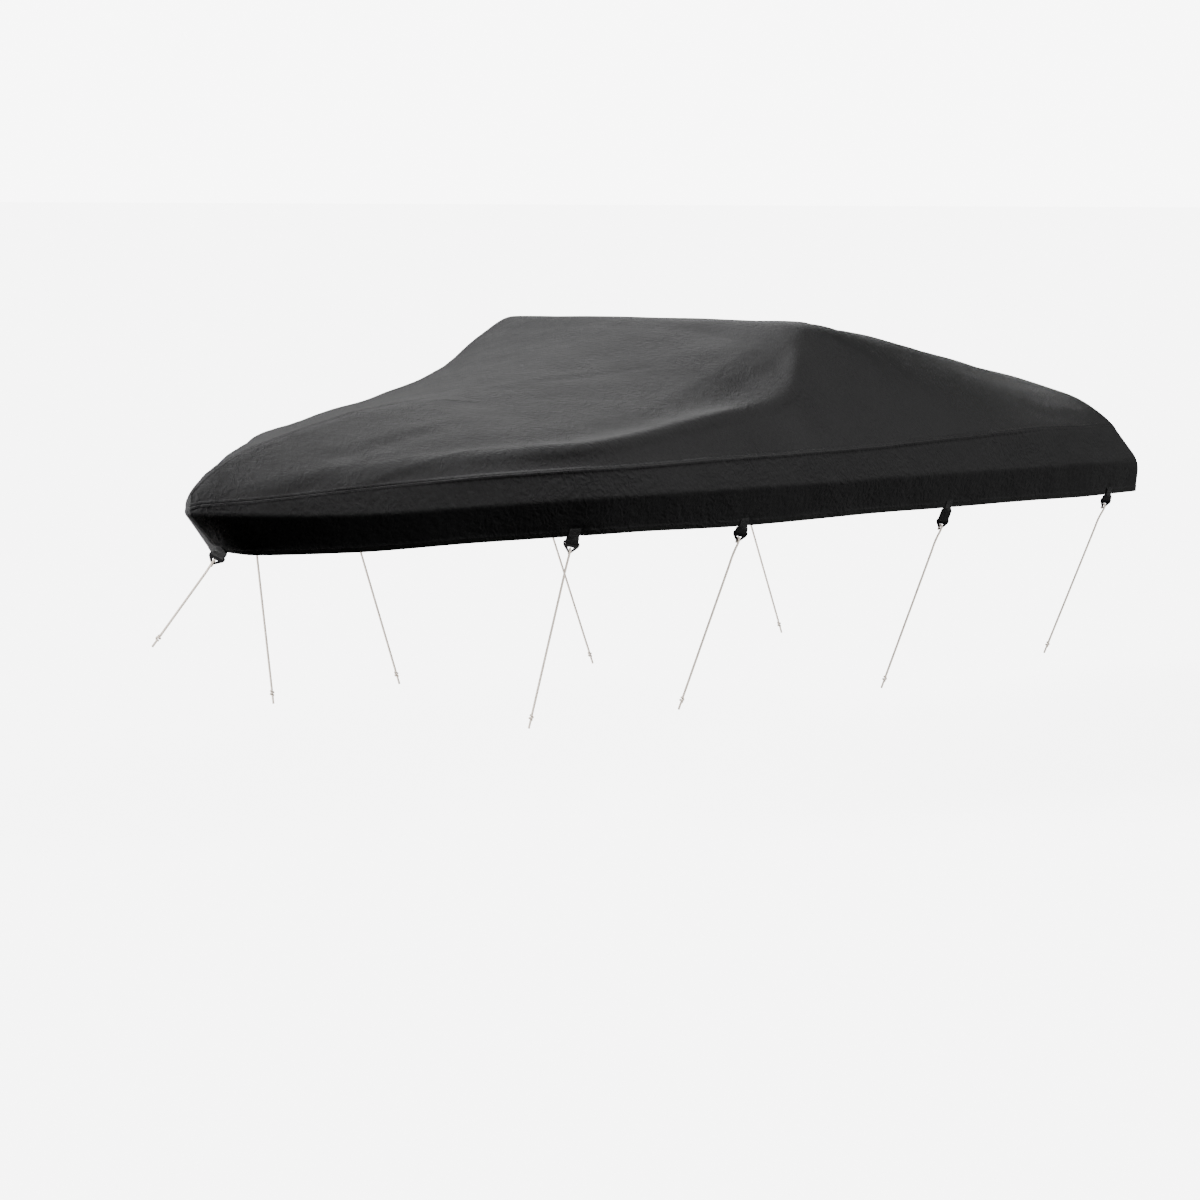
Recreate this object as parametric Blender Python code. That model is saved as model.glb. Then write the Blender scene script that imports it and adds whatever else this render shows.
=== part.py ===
"""Fitted cover of a small runabout, drawn down over the hull, with its straps, buckles and tie-down ropes.

The cover is hollow. Its outer face is lofted through a table of offsets, as a hull is: six long lines run from
the stem to the transom (ridge, edge, crease, side seam, rail and hem), and each station joins them with straight
cloth and rounded turns. Port is -Y, the bow is at -X and +Z is up. The origin lies under the cloth, at the
middle of the windscreen's top edge, where the hull's screen carries the cover. The starboard half mirrors the
port half.
"""

import math

import bpy
import numpy as np

# Driving dimensions, in metres.
CLOTH = 0.002  # woven polyester with its coating
SEAM_GAP = 0.0004  # between two panels that a seam joins
FIT_GAP = 0.0003  # between pieces that touch
STRAP_WIDTH = 0.048
STRAP = 0.002
STRAP_SEWN = 0.030  # length of a strap's legs on the skirt, above the hem
BUCKLE_PLATE = 0.005
BUCKLE_BAR = 0.006
TRANSOM_BULGE = 0.012  # how far the panel over the transom stands out at its foot
ROPE_RADIUS = 0.0045
ROPE_STEP = 0.025
HOOK_RADIUS = BUCKLE_PLATE / 2 + ROPE_RADIUS + FIT_GAP  # the rope's turn round the buckle's foot

# The table of offsets. x runs aft from the stem and z is the height above the hem's lowest point, both of the
# outer face; y is the half-breadth. Each line is given where the cloth would turn if its turns were sharp.
COLUMNS = (
    "ridge_x ridge_z edge_x edge_y edge_z crease_x crease_y crease_z "
    "seam_x seam_y seam_z rail_x rail_y rail_z hem_x hem_y hem_z"
).split()
OFFSETS = (
    (0.040, 0.290, 0.033, 0.000, 0.275, 0.029, 0.000, 0.258, 0.026, 0.000, 0.240, 0.025, 0.000, 0.213, 0.190, 0.000, 0.072),
    (0.085, 0.320, 0.062, 0.017, 0.292, 0.056, 0.027, 0.270, 0.053, 0.033, 0.248, 0.052, 0.037, 0.212, 0.206, 0.040, 0.066),
    (0.190, 0.375, 0.180, 0.046, 0.340, 0.172, 0.092, 0.294, 0.168, 0.115, 0.254, 0.168, 0.130, 0.206, 0.275, 0.110, 0.056),
    (0.320, 0.424, 0.320, 0.090, 0.376, 0.320, 0.186, 0.326, 0.320, 0.220, 0.268, 0.320, 0.242, 0.198, 0.390, 0.210, 0.055),
    (0.500, 0.465, 0.500, 0.150, 0.404, 0.500, 0.285, 0.352, 0.500, 0.330, 0.285, 0.500, 0.360, 0.194, 0.545, 0.320, 0.056),
    (0.920, 0.530, 0.920, 0.230, 0.462, 0.920, 0.500, 0.390, 0.920, 0.575, 0.315, 0.920, 0.608, 0.208, 0.930, 0.565, 0.074),
    (1.500, 0.585, 1.500, 0.290, 0.540, 1.420, 0.765, 0.420, 1.500, 0.860, 0.332, 1.500, 0.895, 0.224, 1.500, 0.850, 0.086),
    (2.050, 0.680, 2.050, 0.470, 0.600, 1.960, 0.830, 0.478, 2.050, 0.965, 0.337, 2.050, 1.000, 0.220, 2.050, 0.955, 0.074),
    (2.420, 0.765, 2.450, 0.600, 0.690, 2.380, 0.840, 0.518, 2.450, 1.005, 0.334, 2.450, 1.040, 0.213, 2.450, 0.995, 0.070),
    (2.580, 0.805, 2.660, 0.680, 0.745, 2.575, 0.860, 0.574, 2.700, 1.020, 0.332, 2.700, 1.055, 0.208, 2.700, 1.010, 0.068),
    (2.720, 0.826, 2.870, 0.690, 0.815, 2.890, 0.755, 0.785, 2.920, 1.030, 0.331, 2.920, 1.065, 0.206, 2.920, 1.020, 0.066),
    (3.500, 0.800, 3.500, 0.580, 0.768, 3.500, 0.830, 0.600, 3.500, 1.040, 0.335, 3.500, 1.080, 0.195, 3.500, 1.035, 0.052),
    (4.200, 0.726, 4.200, 0.500, 0.664, 4.200, 0.800, 0.515, 4.200, 1.025, 0.336, 4.200, 1.070, 0.175, 4.200, 1.025, 0.034),
    (4.800, 0.615, 4.800, 0.460, 0.566, 4.800, 0.795, 0.440, 4.800, 0.985, 0.320, 4.800, 1.035, 0.158, 4.800, 0.990, 0.012),
    (5.030, 0.566, 5.060, 0.460, 0.522, 5.100, 0.785, 0.422, 5.120, 0.930, 0.308, 5.150, 1.000, 0.145, 5.160, 0.965, 0.004),
    (5.130, 0.540, 5.160, 0.440, 0.496, 5.200, 0.780, 0.392, 5.260, 0.885, 0.286, 5.345, 0.968, 0.134, 5.350, 0.948, 0.000),
    (5.170, 0.502, 5.200, 0.420, 0.458, 5.250, 0.745, 0.352, 5.310, 0.845, 0.262, 5.410, 0.895, 0.130, 5.415, 0.878, 0.000),
)
SCREEN = 10  # the station at the windscreen's top
LAST = len(OFFSETS) - 1
RIDGE, SEAM, RAIL, HEM = 0.25, 3.25, 4.25, 5.0  # where these lines lie across the cloth, as surface() counts

# How far each side of a corner its turn reaches, at each station, from the ridge down to the rail. It reaches at most
# MOST_REACH of the shorter length beside the corner.
MOST_REACH = 0.45
TURNS = (
    (0.01, 0.01, 0.01, 0.01, 0.01),
    (0.01, 0.02, 0.02, 0.01, 0.01),
    (0.02, 0.04, 0.03, 0.02, 0.01),
    (0.03, 0.06, 0.04, 0.03, 0.01),
    (0.04, 0.08, 0.05, 0.03, 0.01),
    (0.06, 0.12, 0.06, 0.03, 0.01),
    (0.16, 0.15, 0.07, 0.03, 0.01),
    (0.20, 0.15, 0.07, 0.03, 0.01),
    (0.26, 0.14, 0.07, 0.03, 0.01),
    (0.28, 0.12, 0.06, 0.03, 0.01),
    (0.30, 0.07, 0.05, 0.03, 0.01),
    (0.30, 0.11, 0.16, 0.03, 0.01),
    (0.30, 0.12, 0.18, 0.03, 0.01),
    (0.26, 0.12, 0.16, 0.03, 0.01),
    (0.22, 0.12, 0.12, 0.03, 0.02),
    (0.20, 0.10, 0.08, 0.03, 0.05),
    (0.18, 0.10, 0.06, 0.03, 0.04),
)

# Tie-downs on the port side: the station along the hem, the rope's lower end in the offsets' terms, how far the
# buckle hangs turned about the rope, in degrees, towards the bow where positive, and the strap's free length from
# the hem to the buckle.
TIE_COLUMNS = "station end_x end_y end_z twist free".split()
BOW_TIE = (0.0, -0.130, 0.000, -0.200, -35, 0.020)
SIDE_TIES = (
    (5.63, 1.220, 0.620, -0.577, 22, 0.020),
    (7.16, 2.099, 0.700, -0.599, 22, 0.022),
    (11.05, 3.530, 0.750, -0.661, 22, 0.052),
    (13.68, 5.000, 0.710, -0.660, 22, 0.022),
)


def knots():
    """Running length along the rail at each station, by which the lines are smoothed."""
    rail = np.array(OFFSETS)[:, 11:14]
    steps = np.linalg.norm(np.diff(rail, axis=0), axis=1)
    return np.concatenate([[0.0], np.cumsum(steps)])


def smooth(table, u, starts_flat):
    """Values at stations u of each column of table: a cubic through the rows that makes no new hump. At the stem a
    column starts level where starts_flat says so, because the port and starboard lines meet there in one curve."""
    t = knots()
    h = np.diff(t)[:, None]
    slope = np.diff(table, axis=0) / h
    before, after = slope[:-1], slope[1:]
    w1, w2 = 2 * h[1:] + h[:-1], h[1:] + 2 * h[:-1]
    same_way = before * after > 0
    safe = np.where(same_way, before * after, 1.0)
    inner = np.where(same_way, (w1 + w2) * safe / (w1 * after + w2 * before + 1e-30 * (~same_way)), 0.0)
    first = np.where(starts_flat, 0.0, slope[0])
    tangent = np.vstack([first, inner, slope[-1]])
    row = np.clip(np.floor(u).astype(int), 0, LAST - 1)
    f = (u - row)[:, None]
    step = h[row]
    return (
        (2 * f**3 - 3 * f**2 + 1) * table[row]
        + (f**3 - 2 * f**2 + f) * step * tangent[row]
        + (3 * f**2 - 2 * f**3) * table[row + 1]
        + (f**3 - f**2) * step * tangent[row + 1]
    )


def corners(u):
    """The six lines' points at stations u, as an array of stations, lines and x, y, z, with port at -y."""
    flat = np.array([not name.endswith("_y") and not name.startswith("ridge") for name in COLUMNS])
    values = smooth(np.array(OFFSETS), u, flat)
    points = np.zeros((len(u), 6, 3))
    points[:, 0, 0] = values[:, 0]
    points[:, 0, 2] = values[:, 1]
    points[:, 1:] = values[:, 2:].reshape(-1, 5, 3)
    points[:, :, 1] *= -1
    return points


def surface(u, v):
    """The cloth's outer face at stations u and places v across it. From a whole number to the next half, v runs
    round the turn at that line, and on to the next whole number it runs straight to the next line's turn."""
    at = corners(u)
    turns = smooth(np.array(TURNS), u, np.ones(5, bool))
    before = np.concatenate([at[:, 1:2] * (1, -1, 1), at[:, :-1]], axis=1)
    after = np.concatenate([at[:, 1:], at[:, 5:]], axis=1)
    back, on = before - at, after - at
    back_length = np.linalg.norm(back, axis=2)
    on_length = np.linalg.norm(on, axis=2)
    on_length[:, 5] = back_length[:, 5]
    reach = np.zeros((len(u), 6))
    reach[:, :5] = np.minimum(turns, MOST_REACH * np.minimum(back_length, on_length)[:, :5])
    enters = at + back * (reach / back_length)[..., None]
    leaves = at + on * (reach / on_length)[..., None]
    columns = []
    for place in v:
        line = min(int(place), 5)
        part = 2 * (place - line)
        if part <= 1:
            a, b, c = enters[:, line], at[:, line], leaves[:, line]
            columns.append((1 - part) ** 2 * a + 2 * part * (1 - part) * b + part**2 * c)
        else:
            columns.append((2 - part) * leaves[:, line] + (part - 1) * enters[:, line + 1])
    return np.stack(columns, axis=1) - origin()


def origin():
    """The point of the offsets that becomes the part's origin: under the cloth at the screen's top."""
    ridge, edge = OFFSETS[SCREEN][:2], OFFSETS[SCREEN][2:5]
    run = math.hypot(edge[0] - ridge[0], edge[1], edge[2] - ridge[1])
    dip = 0.5 * TURNS[SCREEN][0] / run
    top_x = ridge[0] + dip * (edge[0] - ridge[0])
    top_z = ridge[1] + dip * (edge[2] - ridge[1])
    return np.array([top_x, 0.0, top_z - CLOTH])


# Stations and places across at which the solids are cut. The skirt is also cut at both edges of each strap, so that
# it's flat under the strap.
ROW_STATIONS = (
    [0, 0.5, 1, 1.5, 2, 3, 3.5, 4, 4.5, 5, 6, 6.5, 7.5, 8, 8.5, 9, 9.33, 9.67, 10, 10.25, 10.6]
    + [11.5, 12, 12.5, 13, 14, 14.5, 15, 15.5, LAST]
)
ACROSS = [RIDGE, 0.5, 1.0, 1.25, 1.5, 2.0, 2.25, 2.5, 3.0, SEAM, 3.5, 4.0, RAIL, 4.5, 4.88, HEM]
SEAM_COLUMN, RAIL_COLUMN = ACROSS.index(SEAM), ACROSS.index(RAIL)


def strap_step(station):
    """Half of a strap's width along the hem, in stations."""
    near = surface(np.array([station, station + 0.1]), [HEM])[:, 0]
    return 0.1 * STRAP_WIDTH / 2 / float(np.linalg.norm(near[1] - near[0]))


def rows():
    """All the stations at which the solids are cut."""
    edges = [strap_step(0.0)]
    for tie in SIDE_TIES:
        step = strap_step(tie[0])
        edges += [tie[0] - step, tie[0] + step]
    return np.array(sorted(ROW_STATIONS + edges))


def cover_mesh():
    """Points, unit normals and named panels of the whole outer face, with the panels' shared points stored once."""
    port = surface(rows(), ACROSS)
    height, columns = port.shape[:2]
    points = [tuple(p) for p in port.reshape(-1, 3)]
    port_index = np.arange(height * columns).reshape(height, columns)
    board_index = port_index.copy()
    for i in range(1, height):
        for j in range(1, columns):
            x, y, z = port[i, j]
            board_index[i, j] = len(points)
            points.append((x, -y, z))
    panels = {}
    for side, index, flip in (("port", port_index, False), ("starboard", board_index, True)):
        for panel, first, last in (("crown", 0, SEAM_COLUMN), ("side", SEAM_COLUMN, columns - 1)):
            faces = []
            for i in range(height - 1):
                for j in range(first, last):
                    face = (index[i, j], index[i, j + 1], index[i + 1, j + 1], index[i + 1, j])
                    faces.append(face[::-1] if flip else face)
            panels[f"{panel}_{side}"] = faces
    panels["transom"] = transom(points, port_index[-1], board_index[-1])
    return np.array(points), panels


def transom(points, port_edge, board_edge):
    """The panel across the stern, ruled from the last station's outline down to the hem. Its new points are added to
    points, and its faces are returned."""
    first = RAIL_COLUMN - 1
    outline = list(port_edge[first::-1]) + list(board_edge[1 : first + 1])
    sides = (port_edge[first:], board_edge[first:])
    corner, hem = points[sides[0][0]], points[sides[0][-1]]
    steps = len(sides[0]) - 1
    grid = [list(sides[0])]
    for k, index in enumerate(outline[1:-1], start=1):
        top = np.array(points[index])
        share = 0.5 * abs(top[1] / corner[1]) + 0.5 * abs(1 - k / first)
        bulge = TRANSOM_BULGE * (1 - share**2)
        foot = np.array([hem[0] + bulge, math.copysign(share * hem[1], top[1]) if k != first else 0.0, hem[2]])
        grid.append([index])
        for depth in range(1, steps + 1):
            grid[-1].append(len(points))
            points.append(tuple(top + (foot - top) * depth / steps))
    grid.append(list(sides[1]))
    faces = []
    for left, right in zip(grid[:-1], grid[1:]):
        for k in range(steps):
            faces.append((left[k], left[k + 1], right[k + 1], right[k]))
    return faces


def split(points, quads):
    """The quads as triangles, each cut along its shorter diagonal."""
    triangles = []
    for a, b, c, d in quads:
        if np.linalg.norm(points[a] - points[c]) < np.linalg.norm(points[b] - points[d]):
            triangles += [(a, b, c), (a, c, d)]
        else:
            triangles += [(a, b, d), (b, c, d)]
    return triangles


def point_normals(points, triangles):
    """Unit normals at the points, weighted by the area of the triangles round each."""
    a, b, c = np.array(triangles).T
    across = np.cross(points[b] - points[a], points[c] - points[a])
    normals = np.zeros_like(points)
    for corner in (a, b, c):
        np.add.at(normals, corner, across)
    return normals / np.linalg.norm(normals, axis=1)[:, None]


def new_object(name, points, faces, material):
    mesh = bpy.data.meshes.new(name)
    mesh.from_pydata([tuple(map(float, p)) for p in points], [], [tuple(map(int, f)) for f in faces])
    mesh.validate()
    mesh.shade_smooth()
    mesh.set_sharp_from_angle(angle=math.radians(40))
    mesh.materials.append(material)
    obj = bpy.data.objects.new(name, mesh)
    bpy.context.scene.collection.objects.link(obj)
    return obj


def cloth_panel(name, points, normals, faces, material):
    """One panel as a solid sheet of CLOTH thickness, drawn back from its edges by half of SEAM_GAP. Along a seam both
    panels' rims are split into the same triangles, so that the gap stays even."""
    used, local = np.unique(np.array(faces), return_inverse=True)
    local = local.reshape(-1, 3)
    outer = points[used].copy()
    face_edges = {(a, b) for face in local for a, b in zip(face, np.roll(face, -1))}
    rim = np.array([(a, b) for a, b in face_edges if (b, a) not in face_edges])
    along = outer[rim[:, 1]] - outer[rim[:, 0]]
    along /= np.linalg.norm(along, axis=1)[:, None]
    inward = np.zeros((2, len(outer), 3))
    for end in (0, 1):
        inward[end, rim[:, end]] = np.cross(normals[used][rim[:, end]], along)
    bisector = inward.sum(axis=0)
    share = 1 + (inward[0] * inward[1]).sum(axis=1)
    outer += bisector * (SEAM_GAP / 2 / share)[:, None]
    inner = outer - normals[used] * CLOTH
    count = len(outer)
    solid = [tuple(f) for f in local] + [tuple(count + f[::-1]) for f in local]
    for a, b in rim:
        low, high = (a, b) if used[a] < used[b] else (b, a)
        solid.append((b, a, count + high))
        solid.append((low, count + a, count + b))
    return new_object(name, np.vstack([outer, inner]), solid, material)


# ---- Straps, buckles and ropes ----

STRAP_LEG = BUCKLE_PLATE / 2 + 2 * FIT_GAP + STRAP / 2  # from the buckle to the middle of each leg
HEM_LEG = CLOTH / 2 + 2 * FIT_GAP + STRAP / 2
BEND = 0.014  # the strap turns from the skirt's slope to the rope's pull over this length
BEND_STEPS = 8
WIDTH_STEPS = 2
SLOT_WIDTH = STRAP_WIDTH + 4 * FIT_GAP
BUCKLE_WIDTH = SLOT_WIDTH + 0.013
# The buckle's outline and rope hole, as half-widths and distances below the bar's lower edge.
BUCKLE_OUTLINE = (
    (0.0265, -BUCKLE_BAR),
    (BUCKLE_WIDTH / 2 - 0.001, -0.003),
    (BUCKLE_WIDTH / 2, 0.004),
    (BUCKLE_WIDTH / 2 - 0.002, 0.012),
    (0.0065, 0.037),
    (0.0030, 0.040),
)
SLOT_DEPTH = 0.006
HOLE_TOP, HOLE_HALF, HOLE_FOOT, FOOT_HALF = 0.0160, 0.0115, 0.0335, 0.002
ROPE_SEAT = 0.0215  # the rope's middle where it passes through the hole
# The rope's middle line on each side of its turn round the buckle's foot, as depths below the turn's centre and
# shares of HOOK_RADIUS out of the buckle's plane: its end behind the buckle, and its lead into the straight run.
ROPE_TAIL = ((0.016, -1.0), (0.008, -1.0))
ROPE_LEAD = ((0.014, 1.0), (0.034, 0.5), (0.060, 0.0))
# The knot and the rope's tail below it, as depths below its top and radii.
KNOT_RINGS = (
    (0.000, 0.0050),
    (0.004, 0.0090),
    (0.012, 0.0102),
    (0.020, 0.0090),
    (0.024, ROPE_RADIUS),
    (0.054, ROPE_RADIUS),
)
KNOT_SIDES = 8


def unit(vector):
    return vector / np.linalg.norm(vector)


def skirt_patch(station):
    """The skirt under a strap: the feet and the upward slopes of its middle plane at the strap's fore edge, middle
    and aft edge, and the outward normals there. At the stem the fore edge is the starboard one."""
    step = strap_step(station)
    if station == 0:
        cuts = surface(np.array([step, 0.0, step]), [4.5, HEM])
        cuts[0] *= (1, -1, 1)
    else:
        cuts = surface(np.array([station - step, station, station + step]), [4.5, HEM])
        cuts[1] = (cuts[0] + cuts[2]) / 2
    feet = cuts[:, 1]
    slopes = cuts[:, 0] - feet
    slopes /= np.linalg.norm(slopes, axis=1)[:, None]
    along = np.gradient(feet, axis=0)
    normals = np.array([unit(np.cross(a, s)) for a, s in zip(along, slopes)])
    return feet - normals * CLOTH / 2, slopes, normals


def tie_frames(patch, pull_end, twist):
    """Frames down the middle of a strap from the hem to the rope: lists of depth, point, width axis and normal. The
    first is on the hem, and past BEND they lie on one straight line towards pull_end, turned by twist."""
    start, slope, normal = (part[1] for part in patch)
    down = -slope
    width = unit(np.cross(normal, down))
    goal = unit(pull_end - start)
    frames = [(0.0, start, width, normal)]
    place = start
    for k in range(1, BEND_STEPS + 1):
        share = k / BEND_STEPS
        ease = share * share * (3 - 2 * share)
        heading = unit(down * (1 - ease) + goal * ease)
        place = place + heading * BEND / BEND_STEPS
        flat = unit(width - heading * (width @ heading))
        face = np.cross(heading, flat)
        turn = math.radians(twist) * ease
        frames.append(
            (
                share * BEND,
                place,
                flat * math.cos(turn) + face * math.sin(turn),
                face * math.cos(turn) - flat * math.sin(turn),
            )
        )
    return frames


def tie_placer(station, pull_end, twist):
    """A function that places (aside, depth, out) of a tie-down in space, where depth runs down from the hem."""
    patch = skirt_patch(station)
    frames = tie_frames(patch, pull_end, twist)
    depths = np.array([f[0] for f in frames])
    table = np.array([np.concatenate(f[1:]) for f in frames])
    end = frames[-1]
    heading = unit(pull_end - end[1])
    width = unit(end[2] - heading * (end[2] @ heading))
    normal = np.cross(heading, width)
    asides = np.array([-STRAP_WIDTH / 2, 0.0, STRAP_WIDTH / 2])

    def on_skirt(aside, depth, out):
        foot, slope, face = (
            np.array([np.interp(aside, asides, part[:, k]) for k in range(3)]) for part in patch
        )
        return foot - slope * depth + face * out

    def place(aside, depth, out):
        if depth <= 0:
            return on_skirt(aside, depth, out)
        if depth >= BEND:
            return end[1] + heading * (depth - BEND) + width * aside + normal * out
        row = np.array([np.interp(depth, depths, table[:, k]) for k in range(9)])
        first = frames[0][1] + frames[0][2] * aside + frames[0][3] * out
        off_flat = (on_skirt(aside, 0.0, out) - first) * (1 - depth / BEND)
        return row[:3] + row[3:6] * aside + row[6:] * out + off_flat

    return place


def strap_path(bar):
    """The strap's middle line in the plane of depth and out, with unit normals: down the skirt's outside, round the
    buckle's bar, at that depth, and up the inside."""
    down = [(-STRAP_SEWN, HEM_LEG), (0.0, HEM_LEG)]
    down += [(BEND * k / 3, HEM_LEG + (STRAP_LEG - HEM_LEG) * k / 3) for k in (1, 2, 3)]
    down += [(bar, STRAP_LEG)]
    turn = [(bar + STRAP_LEG * math.sin(a), STRAP_LEG * math.cos(a)) for a in np.radians([45, 90, 135])]
    up = [(depth, -out) for depth, out in reversed(down)]
    line = np.array(down + turn + up)
    along = np.gradient(line, axis=0)
    along /= np.linalg.norm(along, axis=1)[:, None]
    return line, np.stack([-along[:, 1], along[:, 0]], axis=1)


def strap(name, place, bar, material, mirror):
    """The webbing loop: a flat strip that follows strap_path()."""
    line, normals = strap_path(bar)
    asides = np.linspace(-STRAP_WIDTH / 2, STRAP_WIDTH / 2, WIDTH_STEPS + 1)
    layers = []
    for half in (STRAP / 2, -STRAP / 2):
        for (depth, out), (turn_depth, turn_out) in zip(line, normals):
            for aside in asides:
                layers.append(place(aside, depth + half * turn_depth, out + half * turn_out))
    points = np.array(layers)
    wide = WIDTH_STEPS + 1
    count = len(line) * wide
    faces = []
    for i in range(len(line) - 1):
        for j in range(WIDTH_STEPS):
            a = i * wide + j
            quad = (a, a + 1, a + wide + 1, a + wide)
            faces.append(quad)
            faces.append(tuple(count + q for q in reversed(quad)))
    ring = list(range(wide))
    ring += [i * wide + WIDTH_STEPS for i in range(1, len(line))]
    ring += [(len(line) - 1) * wide + j for j in range(WIDTH_STEPS - 1, -1, -1)]
    ring += [i * wide for i in range(len(line) - 2, 0, -1)]
    faces += [(b, a, count + a, count + b) for a, b in zip(ring, ring[1:] + ring[:1])]
    return finish(name, points, faces, material, mirror)


def finish(name, points, faces, material, mirror):
    """A closed object from points and faces, mirrored to starboard if wanted, with its faces turned outwards."""
    points = np.array(points)
    if mirror:
        points = points * (1, -1, 1)
    triangles = [(f[0], f[k], f[k + 1]) for f in faces for k in range(1, len(f) - 1)]
    volume = sum(np.dot(points[a], np.cross(points[b], points[c])) for a, b, c in triangles)
    if volume < 0:
        faces = [tuple(reversed(f)) for f in faces]
    return new_object(name, points, faces, material)


def buckle(name, place, bar, material, mirror):
    """The plastic ring: a five-sided plate with the strap's slot and the rope's three-cornered hole."""
    outline = list(BUCKLE_OUTLINE) + [(-w, d) for w, d in reversed(BUCKLE_OUTLINE)]
    slot = [(SLOT_WIDTH / 2, 0.0), (SLOT_WIDTH / 2, SLOT_DEPTH), (-SLOT_WIDTH / 2, SLOT_DEPTH), (-SLOT_WIDTH / 2, 0.0)]
    hole = [(HOLE_HALF, HOLE_TOP), (FOOT_HALF, HOLE_FOOT), (-FOOT_HALF, HOLE_FOOT), (-HOLE_HALF, HOLE_TOP)]
    curve = bpy.data.curves.new(name, "CURVE")
    curve.dimensions = "2D"
    curve.fill_mode = "BOTH"
    curve.extrude = BUCKLE_PLATE / 2
    for loop in (outline, slot, hole):
        spline = curve.splines.new("POLY")
        spline.points.add(len(loop) - 1)
        spline.use_cyclic_u = True
        for point, (aside, depth) in zip(spline.points, loop):
            point.co = (aside, depth, 0.0, 1.0)
    guide = bpy.data.objects.new(name + "_guide", curve)
    flat = bpy.data.meshes.new_from_object(guide)
    bpy.data.objects.remove(guide)
    corners_of = [place(v.co.x, bar + v.co.y, v.co.z) for v in flat.vertices]
    faces = [tuple(p.vertices) for p in flat.polygons]
    bpy.data.meshes.remove(flat)
    points, index = np.unique(np.round(corners_of, 7), axis=0, return_inverse=True)
    index = index.reshape(-1)
    return finish(name, points, [tuple(index[list(f)]) for f in faces], material, mirror)


def rope_route(place, bar, pull_end):
    """The rope's middle line: from its end behind the buckle, up and through the hole, and straight down to the
    knot."""
    centre = bar + ROPE_SEAT + HOOK_RADIUS
    route = [place(0.0, centre + down, out * HOOK_RADIUS) for down, out in ROPE_TAIL]
    for angle in np.linspace(0, math.pi, 9):
        route.append(place(0.0, centre - HOOK_RADIUS * math.sin(angle), -HOOK_RADIUS * math.cos(angle)))
    route += [place(0.0, centre + down, out * HOOK_RADIUS) for down, out in ROPE_LEAD]
    first = route.pop()
    steps = int(np.linalg.norm(pull_end - first) / ROPE_STEP)
    route += [first + (pull_end - first) * k / steps for k in range(steps + 1)]
    return np.array(route)


def rope(name, route, material, mirror):
    if mirror:
        route = route * (1, -1, 1)
    curve = bpy.data.curves.new(name, "CURVE")
    curve.dimensions = "3D"
    curve.bevel_depth = ROPE_RADIUS
    curve.bevel_resolution = 2
    curve.use_fill_caps = True
    curve.materials.append(material)
    spline = curve.splines.new("POLY")
    spline.points.add(len(route) - 1)
    for point, place in zip(spline.points, route):
        point.co = (*place, 1.0)
    spline.use_smooth = True
    obj = bpy.data.objects.new(name, curve)
    bpy.context.scene.collection.objects.link(obj)
    return obj


def knot(name, top, heading, material, mirror):
    """The stopper knot at a rope's lower end, with the rope's short tail, turned about the rope."""
    across = unit(np.cross(heading, (1.0, 0.0, 0.0)))
    over = np.cross(heading, across)
    points = []
    for depth, radius in KNOT_RINGS:
        for k in range(KNOT_SIDES):
            angle = 2 * math.pi * k / KNOT_SIDES
            points.append(top + heading * depth + radius * (across * math.cos(angle) + over * math.sin(angle)))
    sides = KNOT_SIDES
    faces = [tuple(range(sides)), tuple(range(len(points) - 1, len(points) - sides - 1, -1))]
    for i in range(len(KNOT_RINGS) - 1):
        for k in range(sides):
            a, b = i * sides + k, i * sides + (k + 1) % sides
            faces.append((a, a + sides, b + sides, b))
    return finish(name, points, faces, material, mirror)


def tie_down(label, row, materials, mirror):
    """One strap with its buckle, rope and knot. Mirrored, it is the starboard one."""
    tie = dict(zip(TIE_COLUMNS, row))
    pull_end = np.array([tie["end_x"], -tie["end_y"], tie["end_z"]]) - origin()
    place = tie_placer(tie["station"], pull_end, tie["twist"])
    bar = tie["free"] + BUCKLE_BAR
    strap(f"strap_{label}", place, bar, materials["strap"], mirror)
    buckle(f"buckle_{label}", place, bar, materials["buckle"], mirror)
    route = rope_route(place, bar, pull_end)
    rope(f"rope_{label}", route, materials["rope"], mirror)
    heading = unit(route[-1] - route[-2])
    knot(f"knot_{label}", route[-1] + heading * FIT_GAP, heading, materials["rope"], mirror)


def new_material(name, colour, roughness):
    material = bpy.data.materials.new(name)
    material.use_nodes = True
    shader = material.node_tree.nodes["Principled BSDF"]
    shader.inputs["Base Color"].default_value = (*colour, 1.0)
    shader.inputs["Roughness"].default_value = roughness
    shader.inputs["Metallic"].default_value = 0.0
    return material


def build():
    for obj in list(bpy.data.objects):
        bpy.data.objects.remove(obj)
    cloth = new_material("cloth", (0.035, 0.036, 0.038), 0.8)
    materials = {
        "strap": new_material("strap", (0.012, 0.012, 0.013), 0.75),
        "buckle": new_material("buckle", (0.010, 0.010, 0.011), 0.4),
        "rope": new_material("rope", (0.62, 0.57, 0.50), 0.9),
    }
    points, panels = cover_mesh()
    panels = {name: split(points, quads) for name, quads in panels.items()}
    normals = point_normals(points, sum(panels.values(), []))
    for name, faces in panels.items():
        cloth_panel(f"cloth_{name}", points, normals, faces, cloth)
    tie_down("bow", BOW_TIE, materials, False)
    for number, row in enumerate(SIDE_TIES, start=1):
        tie_down(f"port_{number}", row, materials, False)
        tie_down(f"starboard_{number}", row, materials, True)


build()
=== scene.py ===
"""Looks of a fitted runabout cover: woven polyester panels, webbing straps, moulded rings and ropes."""

import math

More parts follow.
